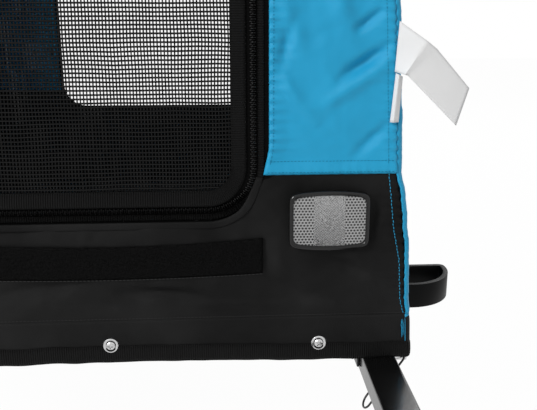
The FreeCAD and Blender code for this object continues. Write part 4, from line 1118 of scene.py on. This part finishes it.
teeth = {"front_door": bmesh.new(), "root": bmesh.new()}
lay_tooth = on_door(0.0010, GAP_DEPTH)
tooth_count = int(door_length / TOOTH_PITCH)
for number in range(tooth_count):
    share = (number + 0.5) / tooth_count
    body, shift = (("front_door", -TOOTH_SHIFT), ("root", TOOTH_SHIFT))[number % 2]
    place = lay_tooth(*door_path(share, ZIP_LINE + shift), 0.0)
    beyond = lay_tooth(*door_path(share, ZIP_LINE + shift + 0.01), 0.0)
    across = (beyond - place).normalized()
    add_lump(teeth[body], place, across, Vector((0, -1, 0)), TOOTH_SIZE)
finish_piece("door_zip_teeth", teeth["front_door"], "zip_black", "front_door")
finish_piece("cabin_zip_teeth", teeth["root"], "zip_black")
for node in ("zip_slider", "zip_pull"):
    slider = bmesh.new()
    slider.from_mesh(frame["nodes"][node].data)
    bmesh.ops.remove_doubles(slider, verts=slider.verts, dist=0.00001)
    finish_piece("small_" + node, slider, "zip_black", node, stands_for=[node])

# %% [markdown]
# The nets are coated yarn in an open square weave. Each strand is a thin bar of six sides, because
# a net at this scale shows only its strands and the holes between them. The door's strands waver a
# little, and all of them stop at the rounded edge of their net.

# %% Nets
STRAND_RADII = {True: 0.00074, False: 0.00092}
STRAND_ACROSS = 0.0031
STRAND_UP = 0.0040
WEFT_LIFT = 0.0006
NET_CORNER = 0.034
NET_SWAY = 0.0011


def add_strand(bm, points, radius):
    """A thin bar of six sides through a few points."""
    for start, end in zip(points, points[1:]):
        run = end - start
        turn = run.to_track_quat("Z", "Y").to_matrix().to_4x4()
        bmesh.ops.create_cone(
            bm, cap_ends=True, segments=6, radius1=radius, radius2=radius, depth=run.length + radius,
            matrix=Matrix.Translation((start + end) / 2) @ turn,
        )


def net(half_x, half_z, corner, lay, pieces, sway):
    """Strands both ways over a rectangle with round corners about the origin, laid by lay(x, z, lift)."""
    bm = bmesh.new()
    ways = ((half_x, half_z, STRAND_ACROSS, True), (half_z, half_x, STRAND_UP, False))
    for reach, other, pitch, upright in ways:
        count = int(2 * reach / pitch)
        for number in range(count):
            off = -reach + (number + 0.5) * 2 * reach / count
            over = max(0.0, abs(off) - reach + corner)
            stop = other - corner + math.sqrt(corner**2 - over**2)
            points = []
            for step in range(pieces + 1):
                run = stop * (2 * step / pieces - 1)
                x, z = (off, run) if upright else (run, off)
                x += sway * rumple(x, z, 0.045, 81)
                z += sway * rumple(x, z, 0.045, 84)
                over_warp = 0.0 if upright else WEFT_LIFT
                points.append(lay(x, z, over_warp + sway * rumple(x, z, 0.09, 87)))
            add_strand(bm, points, STRAND_RADII[upright])
    return bm


net_low, net_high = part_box("front_door_net")
net_middle = (net_low.z + net_high.z) / 2
net_flat = (2 * net_high.x, net_high.z - net_low.z)


def on_leaf(x, z, lift):
    return end_point(-1, x, net_middle + z, -0.0014 + lift)


sew(
    "door_net", net(net_high.x, net_flat[1] / 2, NET_CORNER, on_leaf, 14, NET_SWAY), "black_net", net_flat,
    ["door_binding"], thickness=0, whole=True, body="front_door", stands_for=["front_door_net"],
)

# %% [markdown]
# The window nets lie flat, tucked under a tape that goes all round the window. Each side has its
# own net and tape.

# %% Windows
window_middle = (WINDOW_LOW + WINDOW_HIGH) / 2
window_half = (WINDOW_HIGH - WINDOW_LOW) / 2
NET_TUCK = 0.006


def on_side(sign, base):
    """Lay a flat drawing on the left (1) or right (-1) side, about the window's middle."""

    def lay(x, z, lift):
        point, facing = section(window_middle + z)
        point = point + facing * (base + lift)
        return Vector((sign * point.x, MIDDLE + sign * x, point.z))

    return lay


window_path, window_length = loop_path(WINDOW_HALF_LENGTH, window_half, WINDOW_CORNER)
window_sizes = (WINDOW_HALF_LENGTH, window_half, WINDOW_CORNER)
reach_x, reach_z, reach_corner = (size + NET_TUCK for size in window_sizes)
for hand, sign in (("left", 1), ("right", -1)):
    bm = net(reach_x, reach_z, reach_corner, on_side(sign, -0.0022), 2, 0.0)
    sew(
        hand + "_window_net", bm, "black_net", (2 * reach_x, 2 * reach_z), [hand + "_side"],
        thickness=0, whole=True, stands_for=["window_nets"],
    )
    tape_piece(
        hand + "_window_tape", window_path, window_length, -0.010, 0.009, on_side(sign, 0.0006),
        rests_on=hand + "_side", rise=0.0011,
    )

# %% [markdown]
# Trim on the end faces: the ribbed hem tape, whose lower edge waves a little, and the strip of
# hook-and-loop tape that sags in the middle.

# %% Hem tapes and strip
HEM_TAPE = 0.0185
HEM_THICK = 0.0008
HEM_DROP = 0.0045
STRIP_SAG = 0.0040
STRIP_RISE = 0.0012
strip_low, strip_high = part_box("hook_loop_strip")
strip_half = strip_high.x
strip_height = strip_high.z - strip_low.z


def hem_wave(x):
    """The hem tape's lower edge is not quite straight."""
    middle = 0.0030 * (1 - fade(0.05, 0.26, abs(x)))
    return middle + 0.0022 * rumple(x, 0, 0.07, 61) + 0.0011 * rumple(x, 0, 0.025, 62)


for name, side in (("front", -1), ("rear", 1)):
    reach = side_x(HEM) - CORNER + 0.002

    def hem_path(share, offset, reach=reach):
        x = -reach + 2 * reach * share
        return x, HEM - HEM_DROP - offset + hem_wave(x)

    bm = tape(hem_path, 2 * reach, -HEM_TAPE, 0.0, on_end(side, 0.0006), 0.0010)
    piece = sew(
        name + "_hem_tape", bm, "black_webbing", (HEM_TAPE, 2 * reach), [name + "_hem"],
        thickness=HEM_THICK, whole=True, crumples=False,
    )
    if side < 0:
        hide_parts("hem_bindings")


def strip_path(share, offset):
    x = -strip_half + 2 * strip_half * share
    middle = 1 - (x / strip_half) ** 2
    return x, strip_low.z + STRIP_RISE - STRIP_SAG * middle - offset * (1 - 0.08 * middle)


bm = tape(strip_path, 2 * strip_half, -strip_height, 0.0, on_end(-1, 0.0012), 0.0010, 0.003, 12)
sew(
    "hook_strip", bm, "hook_loop", (strip_height, 2 * strip_half), ["front_lower"],
    thickness=0.0012, whole=True, stands_for=["hook_loop_strip"],
)

# %% [markdown]
# The hem tape goes on along the sides, in two lengths that stop at the wheel guard. A small black
# patch covers each corner just above it.

# %% Side hem tapes and corner patches
PATCH_HIGH = 0.043
PATCH_LENGTH = 0.024


def side_hem_place(sign, start, end):
    def place(u, v):
        t = start + (end - start) * (u if sign > 0 else 1 - u)
        up = -HEM_DROP + HEM_TAPE * v
        point = sleeve_point(t, max(up, 0.0), 0.0006 + 0.0010 * dome(v))
        return Vector((sign * point.x, point.y, point.z + min(up, 0.0))), (t, up)

    return place


def patch_place(sign, at_rear):
    def place(u, v):
        t = PATCH_LENGTH * (u if (sign > 0) != at_rear else 1 - u)
        up = PATCH_HIGH * v
        point = sleeve_point(sleeve_length - t if at_rear else t, up, 0.0007 * dome(v, 6))
        return Vector((sign * point.x, point.y, point.z)), (t, up)

    return place


stretches = [(0.0, guard_low.y - GUARD_GAP - FRONT), (guard_high.y + GUARD_GAP - FRONT, sleeve_length)]
trim = {"thickness": HEM_THICK, "whole": True, "crumples": False}
for hand, sign in (("left", 1), ("right", -1)):
    for number, (start, end) in enumerate(stretches):
        bm = laid_grid(int((end - start) / 0.003), 6, side_hem_place(sign, start, end))
        flat = (HEM_TAPE, end - start)
        sew(f"{hand}_hem_tape_{number}", bm, "black_webbing", flat, [hand + "_side_hem"], **trim)
for hand, sign in (("left", 1), ("right", -1)):
    for name, at_rear in (("front", False), ("rear", True)):
        bm = laid_grid(16, 12, patch_place(sign, at_rear))
        flat = (PATCH_LENGTH, PATCH_HIGH)
        sew(f"{name}_{hand}_patch", bm, "black_cloth", flat, [hand + "_side_hem"], **trim)

# %% [markdown]
# The rear doorway is open, because its flap is rolled up. Its edge is bound with the same webbing
# as the windows.

# %% Rear doorway tape
rear_hole = OPENINGS[1]
rear_path, rear_length = doorway_path(rear_hole["half"], rear_hole["low"], rear_hole["corner"], DOOR_TOP)
tape_piece(
    "rear_doorway_tape", rear_path, rear_length, -0.006, 0.013, on_end(1, 0.0010),
    rests_on="rear_lower", rise=0.0012,
)

# %% [markdown]
# The seams are sewn with visible thread. A row of stitches follows a line of points on a face,
# lying on the cloth as it was shaped. Blue thread shows on the black cloth beside the corner seam.
# The rows on the blue cloth get a darker blue thread, painted shade for the shadow in their needle holes.

# %% Stitches
STITCH_PITCH = 0.0034
ROW_LOW = 0.418
ROW_HIGH = 0.742
SEAM_ROWS = (0.4105, 0.4215)
HEM_ROW = 0.2575
BLUE_ROW = [(0.285, 0.412), (0.289, 0.381), (0.293, 0.349), (0.300, 0.316), (0.303, 0.272), (0.307, 0.2565)]


def along_points(points, pitch):
    """Places at an even pitch along straight runs, with the way each run points."""
    for start, end in zip(points, points[1:]):
        run = Vector(end) - Vector(start)
        count = max(1, round(run.length / pitch))
        for number in range(count):
            yield Vector(start) + run * ((number + 0.5) / count), run.normalized()


def sew_row(bm, side, points, lift, half_length=0.0014, thread=0.00032, sway=0.0):
    for number, (spot, way) in enumerate(along_points(points, STITCH_PITCH)):
        along = Vector((way.x, 0, way.y))
        x = spot.x + (sway if number % 2 else -sway)
        place = end_point(side, x, spot.y, lift(x, spot.y) + 0.0001)
        add_lump(bm, place, along, Vector((0, side, 0)), (half_length, thread, thread))


def edge_row(side, sign, inside, low, high, inner=False):
    """Points of a row a little inside the corner seam or the doorway's edge."""
    heights = [low + (high - low) * step / 24 for step in range(25)]
    if inner:
        return [(sign * (doorway_x(side, z) + inside), z) for z in heights]
    return [(sign * (side_x(z) - CORNER - inside), z) for z in heights]


blue_thread, painted_shade_thread, black_thread = bmesh.new(), bmesh.new(), bmesh.new()
for side in (-1, 1):
    on_blue = lambda x, z: blue_lift(side, x, z)
    on_black = lambda x, z: lower_lift(side, x, z)
    for sign in (1, -1):
        sew_row(painted_shade_thread, side, edge_row(side, sign, 0.0090, ROW_LOW, ROW_HIGH), on_blue)
        sew_row(painted_shade_thread, side, edge_row(side, sign, 0.0045, ROW_LOW, ROW_HIGH, True), on_blue)
        for z in SEAM_ROWS:
            inner, outer = doorway_x(side, z) + 0.003, side_x(z) - CORNER - 0.003
            row = [(sign * (inner + (outer - inner) * k / 12), z) for k in range(13)]
            sew_row(painted_shade_thread, side, row, on_blue)
        sew_row(blue_thread, side, [(sign * x, z) for x, z in BLUE_ROW], on_black, 0.0016, 0.00045, 0.0002)
    hem_reach = side_x(HEM_ROW) - CORNER - 0.004
    hem_points = [(hem_reach * (2 * k / 40 - 1), HEM_ROW) for k in range(41)]
    sew_row(black_thread, side, hem_points, on_black)
strip_foot = [strip_path(k / 40, 0.0006) for k in range(41)]
sew_row(black_thread, -1, strip_foot, lambda x, z: 0.0014, 0.0017, 0.0004)
finish_piece("blue_stitches", blue_thread, "blue_cloth")
# The rows on the blue cloth take the darker blue thread: painted shade for the shadow in their needle
# holes.
finish_piece("painted_shade_stitches", painted_shade_thread, "blue_cloth", look="blue_thread")
finish_piece("black_stitches", black_thread, "zip_black")

# %% [markdown]
# A loose end of the blue thread hangs at the foot of each row. It lies on the hem, below the fold
# line, so it does not crumple.

# %% Thread ends
random.seed(4)
tufts = bmesh.new()
for side in (-1, 1):
    for sign in (1, -1):
        for number in range(9):
            top = Vector((0.3066 + random.uniform(-0.0012, 0.0012), 0.2520 - random.uniform(0, 0.012)))
            foot = top + Vector((random.uniform(-0.0022, 0.0030), -random.uniform(0.006, 0.014)))
            middle, way = (top + foot) / 2, (foot - top)
            place = end_point(side, sign * middle.x, middle.y, random.uniform(0.0003, 0.0012))
            along = Vector((sign * way.x, 0, way.y)).normalized()
            add_lump(tufts, place, along, Vector((0, side, 0)), (way.length / 2, 0.0003, 0.0003))
finish_piece("thread_ends", tufts, "blue_cloth", crumples=False)

# %% [markdown]
# A reflector has a black bezel with slightly bowed edges, a lip round the lens and a small peg at
# the bottom. Its outline is a superellipse, which gives bowed sides and tight corners from one
# formula. Rings of that outline at several insets and heights make the bezel.

# %% The reflector's outline
CORNER_POWER = 11
BOW = 0.12
REFLECTOR_X = 0.226
LENS_INSET = 0.0040


def bowed(half_x, half_z, turn):
    """A point of the outline: a superellipse whose top and bottom edges are bowed."""
    c, sn = math.cos(turn), math.sin(turn)
    size = (abs(c) ** CORNER_POWER + abs(sn) ** CORNER_POWER) ** (-1 / CORNER_POWER)
    return half_x * size * c, half_z * size * sn * (1 + BOW * (1 - (size * c) ** 2))


BEZEL_RINGS = [
    (0.0, 0.0), (0.0, 0.0048), (0.0004, 0.0062), (0.0013, 0.0072), (0.0023, 0.0075), (0.0031, 0.0071),
    (0.0036, 0.0062), (0.0042, 0.0060), (0.0046, 0.0040),
]


def ring_stack(rings, ring_point, columns, centre, side):
    """A closed band of quads through rings given as (inset, height), about a centre on an end face."""

    def place(u, v):
        inset, height = rings[round(v * (len(rings) - 1))]
        x, z = ring_point(inset, 2 * math.pi * u * -side)
        return end_point(side, centre[0] + x, centre[1] + z, height), (x, z)

    bm = laid_grid(columns, len(rings) - 1, place)
    bmesh.ops.remove_doubles(bm, verts=bm.verts, dist=0.000001)
    bmesh.ops.recalc_face_normals(bm, faces=bm.faces)
    return bm


def join(bm, other):
    """Move one bmesh into another."""
    mesh = bpy.data.meshes.new("scratch")
    other.to_mesh(mesh)
    other.free()
    bm.from_mesh(mesh)
    bpy.data.meshes.remove(mesh)


print("bezel rings", len(BEZEL_RINGS))

# %% [markdown]
# Front and rear have two reflectors each. A lens is a grid squeezed into the same bowed outline and
# slightly domed, so that its UV map still measures metres for the pattern of prisms.

# %% Bezels and lenses
bezels = bmesh.new()
lenses = {-1: bmesh.new(), 1: bmesh.new()}
for side, node in ((-1, "front_lenses"), (1, "rear_lenses")):
    lens_low, lens_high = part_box(node)
    centre_z = (lens_low.z + lens_high.z) / 2
    frame_low, frame_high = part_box("reflector_frames")
    half_z = (frame_high.z - frame_low.z) / 2
    half_x = frame_high.x - REFLECTOR_X
    for sign in (1, -1):
        centre = (sign * REFLECTOR_X, centre_z)
        outline = lambda inset, turn: bowed(half_x - inset, half_z - inset, turn)
        join(bezels, ring_stack(BEZEL_RINGS, outline, 96, centre, side))
        peg = end_point(side, centre[0], centre_z - half_z * (1 + BOW) + 0.0012, 0.0066)
        add_lump(bezels, peg, Vector((1, 0, 0)), Vector((0, side, 0)), (0.0011, 0.0011, 0.0012))

        def lens_place(u, v, centre=centre, side=side):
            x = (half_x - 0.0044) * (2 * u - 1) * -side
            share = x / (half_x - LENS_INSET)
            room = max(0.0, 1 - abs(share) ** CORNER_POWER) ** (1 / CORNER_POWER)
            room *= 1 + BOW * (1 - share**2)
            z = (half_z - LENS_INSET) * room * (2 * v - 1)
            height = 0.0050 + 0.0009 * (1 - (x / half_x) ** 2) * (1 - (z / half_z) ** 2)
            return end_point(side, centre[0] + x, centre[1] + z, height), (x, z)

        join(lenses[side], laid_grid(48, 32, lens_place))
finish_piece("reflector_bezels", bezels, "black_plastic", stands_for=["reflector_frames"], look="bezel")
finish_piece("clear_lens_faces", lenses[-1], "clear_lens", stands_for=["front_lenses"])
finish_piece("red_lens_faces", lenses[1], "red_lens", stands_for=["rear_lenses"])

# %% [markdown]
# The hem is held by six screws in cup washers. A washer is a turned ring with a raised lip. A
# screw's head is a dome with a cross recess: a grid is rounded into a disc, and its points inside
# the cross are pushed down.

# %% Screws
WASHER = [
    (0.0080, 0.0), (0.0080, 0.0011), (0.0074, 0.0018),
    (0.0066, 0.0016), (0.0054, 0.0009), (0.0040, 0.0008),
]
HEAD_RADIUS = 0.0047
CROSS_HALF = 0.13
CROSS_REACH = 0.62
HALF_LINES = [0.115, 0.15, 0.2, 0.4, 0.60, 0.64, 0.74, 0.86, 1]
LINES = [-line for line in reversed(HALF_LINES)] + [0] + HALF_LINES
MIDDLE_SCREW_UP = 0.003
CROSS_DEPTH = 0.0017
screw_low, screw_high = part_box("hem_screws")
SCREW_Z = (screw_low.z + screw_high.z) / 2 - 0.003


def head_place(side, centre, turn):
    def place(u, v):
        a = LINES[round(u * (len(LINES) - 1))]
        b = LINES[round(v * (len(LINES) - 1))]
        x = a * math.sqrt(1 - b * b / 2)
        z = b * math.sqrt(1 - a * a / 2)
        height = 0.0010 + 0.0027 * math.sqrt(max(0.0, 1 - 0.93 * (x * x + z * z)))
        if min(abs(a), abs(b)) < CROSS_HALF and max(abs(a), abs(b)) < CROSS_REACH:
            height -= CROSS_DEPTH
        c, sn = math.cos(turn), math.sin(turn)
        spun = (HEAD_RADIUS * (x * c - z * sn) * -side, HEAD_RADIUS * (x * sn + z * c))
        return end_point(side, centre[0] + spun[0], centre[1] + spun[1], height), spun

    return place


washers, heads = bmesh.new(), bmesh.new()
for side in (-1, 1):
    for number, x in enumerate((-screw_high.x + HEAD_RADIUS, 0.0, screw_high.x - HEAD_RADIUS)):
        circle = lambda inset, turn: (inset * math.cos(turn), inset * math.sin(turn))
        centre = (x, SCREW_Z + (MIDDLE_SCREW_UP if number == 1 else 0.0))
        join(washers, ring_stack(WASHER, circle, 40, centre, side))
        join(heads, laid_grid(len(LINES) - 1, len(LINES) - 1, head_place(side, centre, 0.5 + number)))
finish_piece("washers", washers, "bright_steel", crumples=False, stands_for=["cup_washers"])
finish_piece("screw_heads", heads, "bright_steel", crumples=False, stands_for=["hem_screws"])

# %% [markdown]
# Two blank care labels are sewn into the front left corner seam. The long one springs out of the
# seam, is creased once and droops. The short one is a folded loop.

# %% Labels
LONG_LABEL = [
    ((0.2884, 0.556), (0.2858, 0.5086)),
    ((0.3225, 0.531), (0.2967, 0.5057)),
    ((0.3585, 0.493), (0.348, 0.4566)),
]
SHORT_LABEL = [((0.2868, 0.5075), (0.2832, 0.460)), ((0.2940, 0.504), (0.2920, 0.460))]
KINK_AT = 0.36
LABEL_THICK = 0.0004


def label_place(edges, spring, curl):
    """A strip through edges given as (top, bottom) pairs, springing forward from the seam."""

    def place(u, v):
        span = min(u * (len(edges) - 1), len(edges) - 1.000001)
        number = int(span)
        f = span - number
        tops = [Vector(edge[0]) for edge in edges]
        feet = [Vector(edge[1]) for edge in edges]
        top = tops[number].lerp(tops[number + 1], f)
        foot = feet[number].lerp(feet[number + 1], f)
        spot = foot.lerp(top, v)
        kink = u / KINK_AT if u < KINK_AT else (1 - u) / (1 - KINK_AT)
        lift = 0.0030 + spring * u + curl * kink * (0.7 + 0.3 * v)
        return end_point(-1, spot.x, spot.y, lift), (u * 0.09, v * 0.045)

    return place


sew(
    "long_label", laid_grid(36, 14, label_place(LONG_LABEL, 0.004, 0.011)), "white_label", (0.046, 0.092),
    ["left_side"], "hung", LABEL_THICK, stands_for=["corner_labels"],
)
sew(
    "short_label", laid_grid(12, 14, label_place(SHORT_LABEL, 0.0, 0.004)), "white_label", (0.020, 0.048),
    ["left_side"], "folded", LABEL_THICK,
)

# %% [markdown]
# Above the doorways the rain cover and the rear flap are rolled up and tied. A roll is one sheet
# wound into a spiral, so its ends show the layers, and two straps hold it.

# %% Rolls and straps
ROLL_CORE = 0.006
ROLL_STEP = 0.0036
STRAP_X = 0.09
STRAP_FLAT = (0.022, 0.125)
strap_low, strap_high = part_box("roll_straps")


def roll_place(low, high, side, seed):
    centre_y, centre_z = (low.y + high.y) / 2, (low.z + high.z) / 2
    radius = (high.z - low.z) / 2 - 0.0006
    turns = (radius - ROLL_CORE) / ROLL_STEP
    length = math.pi * turns * (radius + ROLL_CORE)

    def place(u, v):
        x = low.x + (high.x - low.x) * u
        wave = 0.0007 * rumple(x, v * 12, 0.03, seed)
        out = ROLL_CORE + (radius - ROLL_CORE) * v + wave * v - 0.0004
        turn = 2 * math.pi * turns * v - 0.4
        y = centre_y + side * out * math.cos(turn)
        return Vector((x, y, centre_z + out * math.sin(turn))), (x, length * v)

    return place, high.x - low.x, length


def strap_place(centre, hoop_radius):
    def place(u, v):
        turn = -2 * math.pi * u
        out = hoop_radius - 0.0012 + 0.0006 * dome(v)
        spot = Vector(((v - 0.5) * STRAP_FLAT[0], out * math.cos(turn), out * math.sin(turn)))
        return centre + spot, (2 * math.pi * hoop_radius * u, spot.x)

    return place


hoop_radius = (strap_high.z - strap_low.z) / 2
rolls = (("rain_cover_roll", "front", -1, "blue_cloth"), ("rear_door_roll", "rear", 1, "black_cloth"))
for node, end, side, slot in rolls:
    low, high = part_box(node)
    place, width, length = roll_place(low, high, side, 71 + side)
    wound = laid_grid(90, 150, place)
    bmesh.ops.recalc_face_normals(wound, faces=wound.faces)
    roll_flat = (width, 1.1 * length)
    sew("wound_" + node, wound, slot, roll_flat, ["roll_straps"], "folded", 0.0007, stands_for=[node])
    for hand, sign in (("left", 1), ("right", -1)):
        centre = Vector((sign * STRAP_X, (low.y + high.y) / 2, (low.z + high.z) / 2))
        hoop = laid_grid(72, 6, strap_place(centre, hoop_radius))
        bmesh.ops.remove_doubles(hoop, verts=hoop.verts, dist=0.000001)
        sew(
            f"strap_{end}_{hand}", hoop, "black_webbing", STRAP_FLAT, ["wound_" + node],
            thickness=0.0010, stands_for=["roll_straps"],
        )

# %% [markdown]
# The tyres are turned from a round section. The tread is cut into blocks by pushing a row of cells
# inwards between them, and a thin raised ring runs round each wall.

# %% Tyres
TREAD_COLUMNS = 400
TREAD_HALF = 0.9
SECTION_ROWS = 34
TYRE_RISE = 0.0232
GROOVE_DEPTH = 0.0016
WALL_RING = 0.0007


def tyre_place(node):
    low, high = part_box(node)
    centre = (low + high) / 2
    outer = (high.z - low.z) / 2
    half = (high.x - low.x) / 2
    ring = outer - TYRE_RISE

    def place(u, v):
        column = round(u * TREAD_COLUMNS) % TREAD_COLUMNS
        row = round(v * SECTION_ROWS)
        lean = (2 * v - 1) * 2.55
        cut = 0.0
        band = abs(lean) / TREAD_HALF
        if band < 1:
            shift = 2 if lean > 0 else 0
            groove = (column + shift + int(abs(row - SECTION_ROWS / 2))) % 5 == 0
            cut = GROOVE_DEPTH if groove or row in (15, 19) else 0.0
        wall_ring = WALL_RING if abs(abs(lean) - 1.7) < 0.08 else 0.0
        round_x = half * math.sin(lean) * (1 + 0.12 * math.cos(2 * lean))
        out = 1 + wall_ring / TYRE_RISE - cut / TYRE_RISE
        x = max(-half, min(half, round_x * out))
        reach = ring + TYRE_RISE * math.cos(lean) * out
        turn = 2 * math.pi * u
        return centre + Vector((x, reach * math.sin(turn), reach * math.cos(turn))), (u, v)

    return place


for side in ("left", "right"):
    rubber = laid_grid(TREAD_COLUMNS, SECTION_ROWS, tyre_place(side + "_tyre"))
    bmesh.ops.remove_doubles(rubber, verts=rubber.verts, dist=0.000001)
    bmesh.ops.recalc_face_normals(rubber, faces=rubber.faces)
    finish_piece(side + "_tread", rubber, "tyre_rubber", side + "_wheel", False, [side + "_tyre"])

# %% [markdown]
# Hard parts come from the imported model. A part's mesh is a set of loose triangles with razor edges,
# which no painted tube has. So a copy is merged, its flat faces are joined again, and its edges get
# a small round.

# %% Rounded copies of the hard parts
FLAT_LIMIT = math.radians(1.0)
EDGE_LIMIT = math.radians(32.0)
MERGE = 0.00001


def rounded_copy(node, width, segments=2):
    bm = bmesh.new()
    bm.from_mesh(frame["nodes"][node].data)
    bmesh.ops.remove_doubles(bm, verts=bm.verts, dist=MERGE)
    bmesh.ops.dissolve_limit(bm, angle_limit=FLAT_LIMIT, verts=bm.verts, edges=bm.edges)
    edges = [e for e in bm.edges if e.is_manifold and e.calc_face_angle(0.0) > EDGE_LIMIT]
    bmesh.ops.bevel(
        bm, geom=edges, offset=width, offset_type="OFFSET", affect="EDGES", segments=segments, profile=0.5,
        clamp_overlap=True, material=-1,
    )
    return bm


ROUNDS = {
    "wheel_guards": 0.0014, "tow_receiver": 0.0008, "base_cross_tubes": 0.0015, "base_side_rails": 0.0015,
    "axle_tube": 0.0012, "axle_bushes": 0.0006, "hinge_brackets": 0.0006, "hinge_pins": 0.0008,
    "guard_bolts": 0.0006, "lock_pin": 0.0008, "hitch_tongue": 0.0006, "hitch_yoke": 0.0010,
    "yaw_pin": 0.0008, "pitch_bolt": 0.0006, "hitch_plate": 0.0008, "floor_board": 0.0012,
}
for side in ("left", "right"):
    for part, width in (("_rim", 0.0006), ("_hub", 0.0006), ("_axle_pin", 0.0008), ("_button", 0.0008)):
        ROUNDS[side + part] = width
bows = bmesh.new()
bows.from_mesh(frame["nodes"]["roof_bows"].data)
bmesh.ops.remove_doubles(bows, verts=bows.verts, dist=MERGE)
finish_piece("shaped_roof_bows", bows, "bow_rod", stands_for=["roof_bows"])
bodies = frame["record"]["behaviour"]["bodies"]
body_of = {node: body for body, nodes in bodies.items() for node in nodes}
for node, width in ROUNDS.items():
    copy = rounded_copy(node, width)
    finish_piece("shaped_" + node, copy, slot_of[node], body_of[node], crumples=False, stands_for=[node])

# %% [markdown]
# The parts that are right as they are, such as the round tubes and the tow bar, keep their own mesh
# and only get a finish.

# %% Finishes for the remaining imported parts
for node, part in frame["nodes"].items():
    if not part.hide_render:
        part.data.materials.clear()
        part.data.materials.append(finishes[slot_of[node]])
        print("kept", node)
